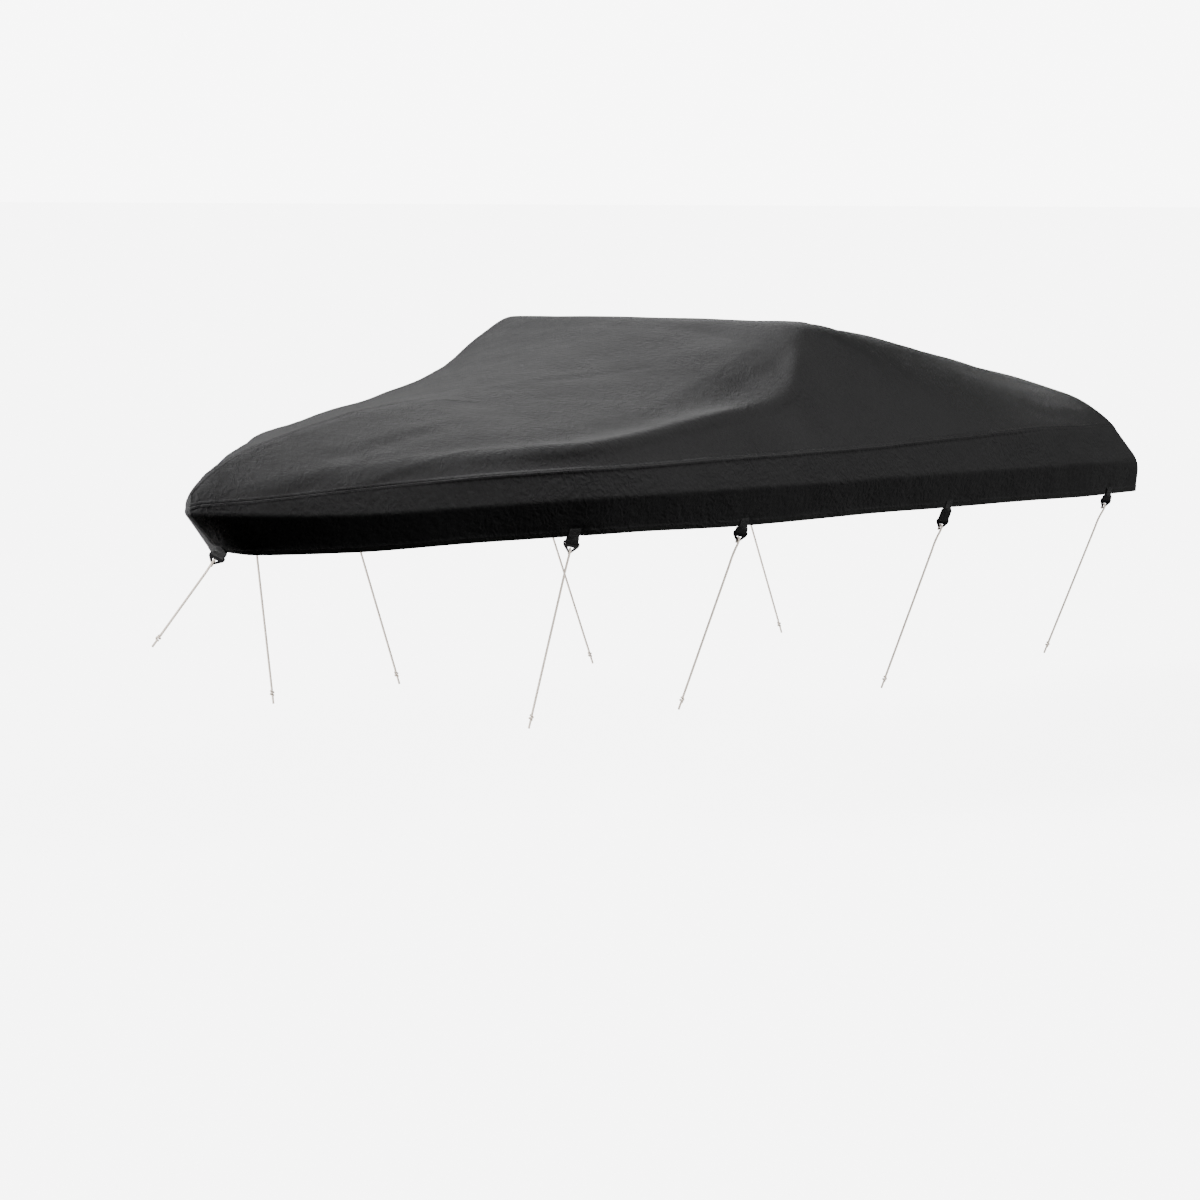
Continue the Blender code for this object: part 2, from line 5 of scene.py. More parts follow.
import bpy
import numpy as np
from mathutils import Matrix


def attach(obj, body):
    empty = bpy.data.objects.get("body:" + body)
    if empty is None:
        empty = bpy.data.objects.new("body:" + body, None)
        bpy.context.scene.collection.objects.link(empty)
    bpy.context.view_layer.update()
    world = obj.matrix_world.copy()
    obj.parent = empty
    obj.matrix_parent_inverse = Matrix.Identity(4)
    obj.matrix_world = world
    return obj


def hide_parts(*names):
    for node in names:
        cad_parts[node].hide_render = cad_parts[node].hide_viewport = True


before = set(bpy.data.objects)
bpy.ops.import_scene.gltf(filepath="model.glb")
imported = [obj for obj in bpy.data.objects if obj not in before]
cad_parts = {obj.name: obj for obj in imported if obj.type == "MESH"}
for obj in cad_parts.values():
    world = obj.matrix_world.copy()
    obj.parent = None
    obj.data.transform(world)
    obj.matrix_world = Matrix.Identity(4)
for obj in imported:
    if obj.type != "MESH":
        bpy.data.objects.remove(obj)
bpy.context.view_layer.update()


# ---- Camera ----------------------------------------------------------------------------------------------
# A long lens stands off the port bow, a little above the cover, and looks slightly down on it.

CAMERA_PLACE = (-13.348, -9.199, 0.559)
CAMERA_AZIMUTH, CAMERA_ELEVATION = -55.0, 6.0
LENS_MM, SENSOR_MM = 120.0, 36.0
CLIP_END = 500.0  # past the floor's far edge


def in_scene(name, data):
    """A new object that carries the data, linked to the scene."""
    obj = bpy.data.objects.new(name, data)
    bpy.context.scene.collection.objects.link(obj)
    return obj


camera_data = bpy.data.cameras.new("camera")
camera_data.lens = LENS_MM
camera_data.sensor_width = SENSOR_MM
camera_data.clip_end = CLIP_END
camera = in_scene("camera", camera_data)
camera.location = CAMERA_PLACE
camera.rotation_euler = (math.radians(90 - CAMERA_ELEVATION), 0.0, math.radians(CAMERA_AZIMUTH))
bpy.context.scene.camera = camera


# ---- Tie-down ropes --------------------------------------------------------------------------------------
# Nine cords of cream laid polyester, 9 mm thick. Each hooks up through a ring's three-cornered hole and
# runs taut down to its stopper knot. The straps that carry the rings hang from the hem, so the cover's
# lines come first here.

CLOTH = 0.002  # the cloth's thickness
FIT_GAP = 0.0003  # left between pieces that touch

# The cover's table of offsets: x runs aft from the stem, z is the height above the hem's lowest point and y
# the half-breadth. Each line is given where the cloth would turn if its turns were sharp.
COLUMNS = (
    "ridge_x ridge_z edge_x edge_y edge_z crease_x crease_y crease_z "
    "seam_x seam_y seam_z rail_x rail_y rail_z hem_x hem_y hem_z"
).split()
OFFSETS = (
    (.040, .290, .033, .000, .275, .029, .000, .258, .026, .000, .240, .025, .000, .213, .190, .000, .072),
    (.085, .320, .062, .017, .292, .056, .027, .270, .053, .033, .248, .052, .037, .212, .206, .040, .066),
    (.190, .375, .180, .046, .340, .172, .092, .294, .168, .115, .254, .168, .130, .206, .275, .110, .056),
    (.320, .424, .320, .090, .376, .320, .186, .326, .320, .220, .268, .320, .242, .198, .390, .210, .055),
    (.500, .465, .500, .150, .404, .500, .285, .352, .500, .330, .285, .500, .360, .194, .545, .320, .056),
    (.920, .530, .920, .230, .462, .920, .500, .390, .920, .575, .315, .920, .608, .208, .930, .565, .074),
    (1.500, .585, 1.500, .290, .540, 1.420, .765, .420, 1.500, .860, .332, 1.500, .895, .224, 1.500, .850, .086),
    (2.050, .680, 2.050, .470, .600, 1.960, .830, .478, 2.050, .965, .337, 2.050, 1.000, .220, 2.050, .955, .074),
    (2.420, .765, 2.450, .600, .690, 2.380, .840, .518, 2.450, 1.005, .334, 2.450, 1.040, .213, 2.450, .995, .070),
    (2.580, .805, 2.660, .680, .745, 2.575, .860, .574, 2.700, 1.020, .332, 2.700, 1.055, .208, 2.700, 1.010, .068),
    (2.720, .826, 2.870, .690, .815, 2.890, .755, .785, 2.920, 1.030, .331, 2.920, 1.065, .206, 2.920, 1.020, .066),
    (3.500, .800, 3.500, .580, .768, 3.500, .830, .600, 3.500, 1.040, .335, 3.500, 1.080, .195, 3.500, 1.035, .052),
    (4.200, .726, 4.200, .500, .664, 4.200, .800, .515, 4.200, 1.025, .336, 4.200, 1.070, .175, 4.200, 1.025, .034),
    (4.800, .615, 4.800, .460, .566, 4.800, .795, .440, 4.800, .985, .320, 4.800, 1.035, .158, 4.800, .990, .012),
    (5.030, .566, 5.060, .460, .522, 5.100, .785, .422, 5.120, .930, .308, 5.150, 1.000, .145, 5.160, .965, .004),
    (5.130, .540, 5.160, .440, .496, 5.200, .780, .392, 5.260, .885, .286, 5.345, .968, .134, 5.350, .948, .000),
    (5.170, .502, 5.200, .420, .458, 5.250, .745, .352, 5.310, .845, .262, 5.410, .895, .130, 5.415, .878, .000),
)
SCREEN = 10  # the station at the windscreen's top
LAST = len(OFFSETS) - 1
# Where these lines lie across the cloth, as surface() counts.
RIDGE, CREASE, SEAM, RAIL, HEM = 0.25, 2.25, 3.25, 4.25, 5.0
SKIRT_TOP = 4.5  # where the skirt leaves the rail's turn

# How far each side of a corner its turn reaches, at each station, from the ridge down to the rail. It
# reaches at most MOST_REACH of the shorter length beside the corner.
MOST_REACH = 0.45
TURNS = (
    (0.01, 0.01, 0.01, 0.01, 0.01),
    (0.01, 0.02, 0.02, 0.01, 0.01),
    (0.02, 0.04, 0.03, 0.02, 0.01),
    (0.03, 0.06, 0.04, 0.03, 0.01),
    (0.04, 0.08, 0.05, 0.03, 0.01),
    (0.06, 0.12, 0.06, 0.03, 0.01),
    (0.16, 0.15, 0.07, 0.03, 0.01),
    (0.20, 0.15, 0.07, 0.03, 0.01),
    (0.26, 0.14, 0.07, 0.03, 0.01),
    (0.28, 0.12, 0.06, 0.03, 0.01),
    (0.30, 0.07, 0.05, 0.03, 0.01),
    (0.30, 0.11, 0.16, 0.03, 0.01),
    (0.30, 0.12, 0.18, 0.03, 0.01),
    (0.26, 0.12, 0.16, 0.03, 0.01),
    (0.22, 0.12, 0.12, 0.03, 0.02),
    (0.20, 0.10, 0.08, 0.03, 0.05),
    (0.18, 0.10, 0.06, 0.03, 0.04),
)


def unit(vectors):
    """Vectors divided by their lengths."""
    return vectors / np.linalg.norm(vectors, axis=-1, keepdims=True)


def ease(x):
    """0 below 0, 1 above 1, and between them the smooth step 3 x squared - 2 x cubed."""
    x = np.clip(x, 0.0, 1.0)
    return x * x * (3 - 2 * x)


def running(points):
    """The length along a line of points, from the first of them to each."""
    return np.concatenate([[0.0], np.cumsum(np.linalg.norm(np.diff(points, axis=0), axis=1))])


def corner_turn(t, enter, corner, leave):
    """Points of the quadratic curve that leaves the line to a corner at enter and ends at leave."""
    return (1 - t) ** 2 * enter + 2 * t * (1 - t) * corner + t**2 * leave


def cubic(f, h, start, start_slope, end, end_slope):
    """Points at shares f of a span h long, on the cubic that has these ends and these slopes there."""
    return (
        (2 * f**3 - 3 * f**2 + 1) * start
        + (f**3 - 2 * f**2 + f) * h * start_slope
        + (3 * f**2 - 2 * f**3) * end
        + (f**3 - f**2) * h * end_slope
    )


def knots():
    """Running length along the rail at each station."""
    return running(np.array(OFFSETS)[:, 11:14])


def smooth(table, u, starts_flat):
    """Each column of table at stations u: a cubic between neighbouring rows, whose slope at a row is the
    weighted harmonic mean of the slopes on both sides, or level where those differ in sign. A column that
    starts_flat marks is level at the stem."""
    h = np.diff(knots())[:, None]
    slope = np.diff(table, axis=0) / h
    before, after = slope[:-1], slope[1:]
    w1, w2 = 2 * h[1:] + h[:-1], h[1:] + 2 * h[:-1]
    same_way = before * after > 0
    safe = np.where(same_way, before * after, 1.0)
    inner = np.where(same_way, (w1 + w2) * safe / (w1 * after + w2 * before + 1e-30 * (~same_way)), 0.0)
    tangent = np.vstack([np.where(starts_flat, 0.0, slope[0]), inner, slope[-1]])
    row = np.clip(np.floor(u).astype(int), 0, LAST - 1)
    f = (u - row)[:, None]
    return cubic(f, h[row], table[row], tangent[row], table[row + 1], tangent[row + 1])


def origin():
    """The point of the offsets that is the frame's origin: under the cloth at the screen's top."""
    ridge, edge = OFFSETS[SCREEN][:2], OFFSETS[SCREEN][2:5]
    run = math.hypot(edge[0] - ridge[0], edge[1], edge[2] - ridge[1])
    dip = 0.5 * TURNS[SCREEN][0] / run
    top_x = ridge[0] + dip * (edge[0] - ridge[0])
    top_z = ridge[1] + dip * (edge[2] - ridge[1])
    return np.array([top_x, 0.0, top_z - CLOTH])


def surface(u, v):
    """Points of the port outer face at stations u and, for each, the places v across. From a whole number
    to the next half, v runs round a quadratic turn at that line, and on to the next whole number straight
    to the next."""
    flat = np.array([not name.endswith("_y") and not name.startswith("ridge") for name in COLUMNS])
    values = smooth(np.array(OFFSETS), u, flat)
    at = np.zeros((len(u), 6, 3))
    at[:, 0, 0], at[:, 0, 2] = values[:, 0], values[:, 1]
    at[:, 1:] = values[:, 2:].reshape(-1, 5, 3)
    at[:, :, 1] *= -1
    turns = smooth(np.array(TURNS), u, np.ones(5, bool))
    back = np.concatenate([at[:, 1:2] * (1, -1, 1), at[:, :-1]], axis=1) - at
    on = np.concatenate([at[:, 1:], at[:, 5:]], axis=1) - at
    back_length, on_length = np.linalg.norm(back, axis=2), np.linalg.norm(on, axis=2)
    on_length[:, 5] = back_length[:, 5]
    reach = np.zeros((len(u), 6))
    reach[:, :5] = np.minimum(turns, MOST_REACH * np.minimum(back_length, on_length)[:, :5])
    enters = at + back * (reach / back_length)[..., None]
    leaves = at + on * (reach / on_length)[..., None]
    v = np.broadcast_to(np.atleast_2d(v), (len(u), np.shape(v)[-1]))
    line = np.minimum(v.astype(int), 5)
    part = (2 * (v - line))[..., None]
    rows = np.arange(len(u))[:, None]
    entry, corner, exit_ = enters[rows, line], at[rows, line], leaves[rows, line]
    onward = enters[rows, np.minimum(line + 1, 5)]
    turned = corner_turn(part, entry, corner, exit_)
    straight = (2 - part) * exit_ + (part - 1) * onward
    return np.where(part <= 1, turned, straight) - origin()


# Tie-downs on the port side: the station along the hem, the rope's lower end in the offsets' terms, how far
# the ring hangs turned about the rope, in degrees, towards the bow where positive, and the strap's free
# length from the hem to the ring.
TIES = {
    "bow": (0.0, -0.130, 0.000, -0.200, -35, 0.020),
    "port_1": (5.63, 1.220, 0.620, -0.577, 22, 0.020),
    "port_2": (7.16, 2.099, 0.700, -0.599, 22, 0.022),
    "port_3": (11.05, 3.530, 0.750, -0.661, 22, 0.052),
    "port_4": (13.68, 5.000, 0.710, -0.660, 22, 0.022),
}
LABELS = list(TIES) + [label.replace("port", "starboard") for label in TIES if label != "bow"]
STRAP_WIDTH = 0.048
BEND = 0.014  # the strap turns from the skirt's slope to the rope's pull over this length
BEND_STEPS = 8


def tie_row(label):
    """A tie-down's row, and whether it is mirrored to starboard."""
    return TIES[label.replace("starboard", "port")], label.startswith("starboard")


def rope_end(label):
    """The rope's lower end, on the port side."""
    x, y, z = tie_row(label)[0][1:4]
    return np.array([x, -y, z]) - origin()


def to_side(points, mirrored):
    """Points of the port side, or their mirror images to starboard."""
    return points * (1, -1 if mirrored else 1, 1)


def skirt_patch(station):
    """Feet, upward slopes and outward normals of the skirt's middle plane at a strap's fore edge, middle
    and aft edge."""
    ahead = 0.1
    near = surface(np.array([station, station + ahead]), [HEM])[:, 0]
    step = ahead * STRAP_WIDTH / 2 / float(np.linalg.norm(near[1] - near[0]))
    if station == 0:
        cuts = surface(np.array([step, 0.0, step]), [SKIRT_TOP, HEM])
        cuts[0] *= (1, -1, 1)
    else:
        cuts = surface(np.array([station - step, station, station + step]), [SKIRT_TOP, HEM])
        cuts[1] = (cuts[0] + cuts[2]) / 2
    feet, slopes = cuts[:, 1], unit(cuts[:, 0] - cuts[:, 1])
    normals = unit(np.cross(np.gradient(feet, axis=0), slopes))
    return feet - normals * CLOTH / 2, slopes, normals


def on_tie(label, aside, depth, out):
    """Places of a tie-down's points, given as distances aside of its middle, down from the hem and out of
    its plane. Above the hem they lie on the skirt, past BEND in one plane along the rope, and between them
    on frames that turn smoothly from the one to the other."""
    (station, *_, twist, _), mirrored = tie_row(label)
    feet, slopes, normals = skirt_patch(station)
    aside, depth, out = (a[..., None] for a in np.broadcast_arrays(aside, depth, out))

    def patch(values):
        """Values given at the strap's edges and middle, carried straight between them."""
        asides = (-STRAP_WIDTH / 2, 0.0, STRAP_WIDTH / 2)
        return np.concatenate([np.interp(aside, asides, values[:, k]) for k in range(3)], axis=-1)

    def on_skirt(down):
        """Places on the skirt's slope."""
        return patch(feet) - patch(slopes) * down + patch(normals) * out

    start, down, normal = feet[1], -slopes[1], normals[1]
    width = unit(np.cross(normal, down))
    goal = unit(rope_end(label) - start)
    frames = [(start, width, normal)]
    spot = start
    for k in range(1, BEND_STEPS + 1):
        eased = ease(k / BEND_STEPS)
        heading = unit(down * (1 - eased) + goal * eased)
        spot = spot + heading * BEND / BEND_STEPS
        level = unit(width - heading * (width @ heading))
        face = np.cross(heading, level)
        turn = math.radians(twist) * eased
        turned_level = level * math.cos(turn) + face * math.sin(turn)
        turned_face = face * math.cos(turn) - level * math.sin(turn)
        frames.append((spot, turned_level, turned_face))
    table = np.array([np.concatenate(f) for f in frames])
    end = frames[-1]
    heading = unit(rope_end(label) - end[0])
    last_width = unit(end[1] - heading * (end[1] @ heading))
    last_normal = np.cross(heading, last_width)
    hanging = end[0] + heading * (depth - BEND) + last_width * aside + last_normal * out
    depths = np.linspace(0, BEND, BEND_STEPS + 1)
    row = np.concatenate([np.interp(depth, depths, table[:, k]) for k in range(9)], axis=-1)
    first = start + width * aside + normal * out
    off_flat = (on_skirt(0.0) - first) * (1 - depth / BEND)
    turning = row[..., :3] + row[..., 3:6] * aside + row[..., 6:] * out + off_flat
    points = np.where(depth <= 0, on_skirt(depth), np.where(depth >= BEND, hanging, turning))
    return to_side(points, mirrored)


def at_hem(label, aside=0.0):
    """Where a port tie-down's middle, or a place aside of it, meets the hem."""
    return on_tie(label, aside, np.array([0.0]), 0.0)[0]


RING_BAR = 0.006  # width of the bar that the strap goes round
RING_PLATE = 0.005  # thickness
ROPE_RADIUS = 0.0045
HOOK_RADIUS = RING_PLATE / 2 + ROPE_RADIUS + FIT_GAP
ROPE_SEAT = 0.0215  # from the ring's bar to where the rope passes through the hole
STRAND_PITCH = 0.042  # one turn of the three strands
STRAND_DEPTH = 0.08  # of the radius, between two strands
ROPE_STEP = 0.003
ROPE_SIDES = 21
# The rope's middle line on each side of its turn round the ring's foot, as depths below the turn's centre
# and shares of HOOK_RADIUS out of the ring's plane: its end behind the ring, and its lead into the straight
# run.
ROPE_TAIL = ((0.016, -1.0), (0.008, -1.0))
ROPE_LEAD = ((0.014, 1.0), (0.034, 0.5), (0.060, 0.0))
# Pale and dark rope tones: the dark one is painted shade in the grooves between yarns, and also random grime.
ROPE_LIGHT, ROPE_DARK = (0.60, 0.52, 0.45), (0.50, 0.43, 0.36)
YARN_SLANT = 38  # degrees off the rope's length


def hermite(points, step):
    """A smooth line through the points, resampled at even steps: a cubic on chord length with each point's
    slope taken from its neighbours."""
    t = running(points)
    slope = np.gradient(points, t, axis=0)
    at = np.linspace(0, t[-1], max(2, int(t[-1] / step)) + 1)
    k = np.clip(np.searchsorted(t, at, side="right") - 1, 0, len(t) - 2)
    h = (t[k + 1] - t[k])[:, None]
    f = (at - t[k])[:, None] / h
    return cubic(f, h, points[k], slope[k], points[k + 1], slope[k + 1])


def bar_depth(label):
    """How far below the hem the ring's bar hangs: the strap's free length and the bar's."""
    return tie_row(label)[0][-1] + RING_BAR


def rope_route(label):
    """The rope's middle line: up behind the ring, through its hole, and straight down to the knot."""
    end = to_side(rope_end(label), tie_row(label)[1])
    centre = bar_depth(label) + ROPE_SEAT + HOOK_RADIUS
    angle = np.linspace(0, math.pi, 9)
    turn = np.stack([-HOOK_RADIUS * np.sin(angle), -np.cos(angle)], axis=1)
    depth, out = np.vstack([ROPE_TAIL, turn, ROPE_LEAD]).T
    hook = on_tie(label, 0.0, centre + depth, HOOK_RADIUS * out)
    run = hook[-1] + (end - hook[-1]) * np.linspace(0, 1, 12)[1:, None]
    return hermite(np.vstack([hook, run]), ROPE_STEP)


def path_frames(path):
    """Two unit vectors across a path at each of its points, carried along it without twisting about it."""
    along = unit(np.gradient(path, axis=0))
    across = np.zeros_like(along)
    across[0] = unit(np.cross(along[0], (0.31, 0.95, 0.07)))
    for k in range(1, len(path)):
        across[k] = unit(across[k - 1] - along[k] * (across[k - 1] @ along[k]))
    return across, np.cross(along, across)


def grid_mesh(name, points, uv, around=False, caps=False):
    """An object from a grid of points, rows by columns, with its UV map. around joins the last column to
    the first, and caps closes the first and last rows."""
    rows, columns = points.shape[:2]
    index = np.arange(rows * columns).reshape(rows, columns)
    right = np.roll(index, -1, axis=1) if around else index[:, 1:]
    left = index if around else index[:, :-1]
    quads = np.stack([left[:-1], right[:-1], right[1:], left[1:]], axis=-1).reshape(-1, 4)
    mesh = bpy.data.meshes.new(name)
    faces = quads.tolist()
    if caps:
        faces += [index[0, ::-1].tolist(), index[-1].tolist()]
    mesh.from_pydata(points.reshape(-1, 3).tolist(), [], faces)
    loops = np.zeros(len(mesh.loops), np.int32)
    mesh.loops.foreach_get("vertex_index", loops)
    lay = mesh.uv_layers.new(name="lay")
    lay.data.foreach_set("uv", uv.reshape(-1, 2)[loops].astype(np.float32).ravel())
    mesh.shade_smooth()
    return in_scene(name, mesh)


def outward(obj):
    """Turns a closed piece's faces outwards: its volume is the sum over triangles of a . (b x c) / 6."""
    mesh = obj.data
    mesh.calc_loop_triangles()
    co = np.zeros(len(mesh.vertices) * 3)
    mesh.vertices.foreach_get("co", co)
    tri = np.zeros(len(mesh.loop_triangles) * 3, np.int32)
    mesh.loop_triangles.foreach_get("vertices", tri)
    a, b, c = co.reshape(-1, 3)[tri.reshape(-1, 3)].transpose(1, 0, 2)
    if (a * np.cross(b, c)).sum() < 0:
        mesh.flip_normals()
    return obj


class Finish:
    """A node material with its shader, and short ways to add, set and link its nodes."""

    def __init__(self, name):
        self.material = bpy.data.materials.new(name)
        self.material.use_nodes = True
        self.tree = self.material.node_tree
        self.shader = self.tree.nodes["Principled BSDF"]

    def fill(self, socket, value):
        """Links another node's output to a socket, or sets a plain value on it."""
        if isinstance(value, bpy.types.NodeSocket):
            self.tree.links.new(value, socket)
        else:
            socket.default_value = value

    def put(self, name, value):
        """Fills one of the shader's own sockets."""
        self.fill(self.shader.inputs[name], value)

    def add(self, kind, values=(), **settings):
        """A new node's outputs."""
        node = self.tree.nodes.new("ShaderNode" + kind)
        for key, value in settings.items():
            setattr(node, key, value)
        for socket, value in dict(values).items():
            self.fill(node.inputs[socket], value)
        return node.outputs

    def calc(self, kind, a, b=0.0, c=0.0):
        """The result of a Math node."""
        return self.add("Math", {0: a, 1: b, 2: c}, operation=kind)[0]

    def mix(self, factor, a, b):
        """Colour a where factor is 0, and colour b where it is 1."""
        a, b = (c if isinstance(c, bpy.types.NodeSocket) else (*c, 1) for c in (a, b))
        return self.add("Mix", {0: factor, 6: a, 7: b}, data_type="RGBA")[2]

    def bump(self, height, strength, distance, under=None):
        """A Bump node's normal, on top of another's where that is given."""
        values = {"Height": height, "Strength": strength, "Distance": distance}
        if under is not None:
            values["Normal"] = under
        return self.add("Bump", values)["Normal"]


def tube(name, path, radius, sides, strands=0, pitch=1.0, depth=0.0):
    """A closed tube along path. With strands, its radius swells over each: radius times one less depth
    times (1 - |cos(strands / 2 (angle - turn))|), where the turn grows along the path by one round a
    pitch."""
    across, over = path_frames(path)
    angle = 2 * np.pi * np.arange(sides) / sides
    run = running(path)
    wave = np.abs(np.cos(strands / 2 * (angle[None] - 2 * np.pi * run[:, None] / pitch)))
    size = (radius * (1 - depth * (1 - wave)))[..., None]
    ring = across[:, None] * np.cos(angle)[None, :, None] + over[:, None] * np.sin(angle)[None, :, None]
    uv = np.stack(np.broadcast_arrays(run[:, None], (angle * radius)[None]), axis=-1)
    return outward(grid_mesh(name, path[:, None] + size * ring, uv, around=True, caps=True))


def rope_material():
    """Laid polyester: fine yarns slant across each strand, painted paler on their crowns and darker in the grooves
    between them as painted shade, in random grimy patches.
    """
    laid = Finish("rope")
    where = laid.add("TexCoord")
    slant = laid.add("Mapping", {"Vector": where["UV"], "Rotation": (0.0, 0.0, math.radians(YARN_SLANT))})
    waves = {"Scale": 420.0, "Distortion": 1.5, "Detail": 1.0, "Detail Scale": 2.0}
    yarn = laid.add("TexWave", {"Vector": slant["Vector"], **waves})["Fac"]
    fuzz = laid.add("TexNoise", {"Vector": where["Object"], "Scale": 900.0, "Detail": 3.0})["Fac"]
    grime = laid.add("TexNoise", {"Vector": where["Object"], "Scale": 35.0, "Detail": 4.0})["Fac"]
    # Paler on each yarn's crown and darker in the grooves between yarns as painted shade, times random grime.
    yarn_shade_and_grime = laid.add("MapRange", {"Value": laid.calc("MULTIPLY", yarn, grime), "From Max": 0.5})["Result"]
    laid.put("Base Color", laid.mix(yarn_shade_and_grime, ROPE_DARK, ROPE_LIGHT))
    laid.put("Normal", laid.bump(laid.calc("ADD", yarn, fuzz), 0.6, 0.0006))
    laid.put("Roughness", 0.85)
    laid.put("Sheen Weight", 0.25)
    return laid.material


routes = {label: rope_route(label) for label in LABELS}
rope_finish = rope_material()
ropes = {}
for label, route in routes.items():
    rope = tube(f"laid_rope_{label}", route, ROPE_RADIUS, ROPE_SIDES, 3, STRAND_PITCH, STRAND_DEPTH)
    rope.data.materials.append(rope_finish)
    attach(rope, "root")
    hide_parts(f"rope_{label}")
    ropes[label] = rope


# ---- Stopper knots ---------------------------------------------------------------------------------------
# Each rope's lower end is tied in an overhand knot, drawn tight, with a short tail whose end is melted.

KNOT_LENGTH = 0.024
KNOT_TAIL = 0.030
KNOT_LOOP = 0.0058  # how far the rope's middle swings off the rope's line inside the knot
KNOT_ROPE = 0.0042  # the rope is squeezed a little in the knot


def overhand(top, heading):
    """The rope's middle line in the knot: two turns round the rope's line at a radius of KNOT_LOOP times a
    power of a sine, so that they close in at both ends, and then the straight tail."""
    across = unit(np.cross(heading, (1.0, 0.0, 0.0)))
    over = np.cross(heading, across)
    t = np.linspace(0, 1, 60)[:, None]
    swing = KNOT_LOOP * np.sin(np.pi * t) ** 0.6 * (1 + 0.12 * np.sin(4 * np.pi * t))
    angle = 4.4 * np.pi * t
    depth = KNOT_LENGTH * (0.5 + 0.5 * np.sin(np.pi * (t - 0.5)) * (1 - 0.35 * np.sin(np.pi * t)))
    loops = top + heading * depth + swing * (across * np.cos(angle) + over * np.sin(angle))
    tail = top + heading * (KNOT_LENGTH + KNOT_TAIL * np.linspace(0.1, 1, 10)[:, None])
    return hermite(np.vstack([loops[::2], tail]), 0.0012)


stoppers = []
for label, route in routes.items():
    heading = unit(route[-1] - route[-2])
    line = overhand(route[-1] + heading * FIT_GAP, heading)
    knot = tube(f"overhand_knot_{label}", line, KNOT_ROPE, ROPE_SIDES, 3, STRAND_PITCH, STRAND_DEPTH)
    knot.data.materials.append(rope_finish)
    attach(knot, "root")
    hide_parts(f"knot_{label}")
    stoppers.append(knot)


# ---- Cover panels ----------------------------------------------------------------------------------------
# Five panels of black woven polyester, coated inside: port and starboard crown, port and starboard side,
# and the transom. Lapped seams with two rows of stitching join them, and the hem is turned up and stitched
# once.

LAP = 0.010  # width of a seam's lap on each panel
LAP_RISE = 0.0016
HEM_TURN = 0.024  # how far the hem is turned up
HEM_RISE = 0.0012
# The middle seam lies pressed flat from here aft: where, over what length it turns flat, and how nearly.
FLAT_SEAM_FROM, FLAT_SEAM_FADE, FLAT_SEAM_SHARE = 1.20, 0.30, 0.85
LAP_GROOVE = 0.0026  # width of the groove on a seam's line
LAP_FOOT = 0.003  # width of the slope at a lap's edge
NEAR_EDGE = (0.0, 0.0012, 0.0026, 0.0050, 0.0085, LAP, 0.0118, 0.0150, 0.0200)  # grid lines beside a seam
NEAR_RAIL = (0.0, 0.002, 0.005, 0.009)
NEAR_HEM = (0.0, 0.004, 0.022, 0.024, 0.026)
LENGTH_CUTS = 300
CROWN_CUTS, BAND_CUTS, SKIRT_CUTS = 84, 14, 16
FINE_CUTS = 1140  # steps across by which the cloth's length is measured, with seam and rail on whole ones
TRANSOM_BULGE = 0.012
TRANSOM_TOP = 4.0  # the place across, just above the rail, down to which the transom hangs from the outline
TRANSOM_BLEND = 0.14  # how far from its sides the transom follows the side panels' ends

# Soft folds, each a line from one place to another on the port side: x aft, share of the girth from the ridge (0)
# to the hem (1), width across the fold and height, which is negative for a trough.
FOLD_COLUMNS = "x0 girth0 x1 girth1 width height".split()
FOLDS = (
    (0.45, 0.36, 1.15, 0.33, 0.050, -0.0050),
    (0.60, 0.30, 1.30, 0.26, 0.045, 0.0025),
    (0.50, 0.60, 1.05, 0.57, 0.016, 0.0030),
    (0.30, 0.52, 0.72, 0.48, 0.030, -0.0030),
    (1.36, 0.05, 1.48, 0.16, 0.018, 0.0045),
    (1.60, 0.05, 2.10, 0.22, 0.040, 0.0030),
    (1.75, 0.10, 2.30, 0.34, 0.035, -0.0030),
    (1.95, 0.50, 2.75, 0.44, 0.030, 0.0030),
    (2.30, 0.56, 2.95, 0.50, 0.040, -0.0035),
    (3.02, 0.30, 3.10, 0.60, 0.045, 0.0030),
    (3.15, 0.30, 3.26, 0.60, 0.050, -0.0030),
    (3.45, 0.30, 3.52, 0.60, 0.060, 0.0030),
    (3.95, 0.28, 4.02, 0.58, 0.060, -0.0030),
    (4.42, 0.02, 4.52, 0.22, 0.040, 0.0040),
    (4.55, 0.25, 5.05, 0.55, 0.055, 0.0050),
    (4.72, 0.16, 5.12, 0.42, 0.050, -0.0045),
    (5.02, 0.02, 5.08, 0.16, 0.040, 0.0040),
    (4.60, 0.66, 5.30, 0.72, 0.050, 0.0050),
)
# The roll of cloth along the shoulder, just inside the crease: x aft and the roll's height there.
ROLL = ((0.50, 0.0), (0.90, 0.008), (1.40, 0.020), (2.10, 0.022), (2.55, 0.010), (2.80, 0.0))
ROLL_WIDTH, ROLL_INSIDE = 0.042, -0.014
SEAM_ROLL, SEAM_ROLL_WIDTH = 0.0060, 0.011  # the side seam's welt, which fades towards both its ends
SEAM_ROLL_ENDS = (0.55, 4.60)
# Shallow waves of the slack cloth: the wave's direction, its length and its height.
SLACK_COLUMNS = "x y z length height".split()
SLACK = (
    (1.0, 0.3, 0.2, 0.92, 0.0016),
    (0.7, -0.7, 0.4, 0.61, 0.0013),
    (0.9, 0.5, -0.8, 0.43, 0.0010),
    (0.4, 1.0, 0.9, 0.37, 0.0009),
    (1.0, -0.2, 0.7, 0.27, 0.0007),
    (0.6, 0.8, -0.5, 0.19, 0.0005),
    (1.0, 0.9, 0.4, 0.13, 0.0003),
)
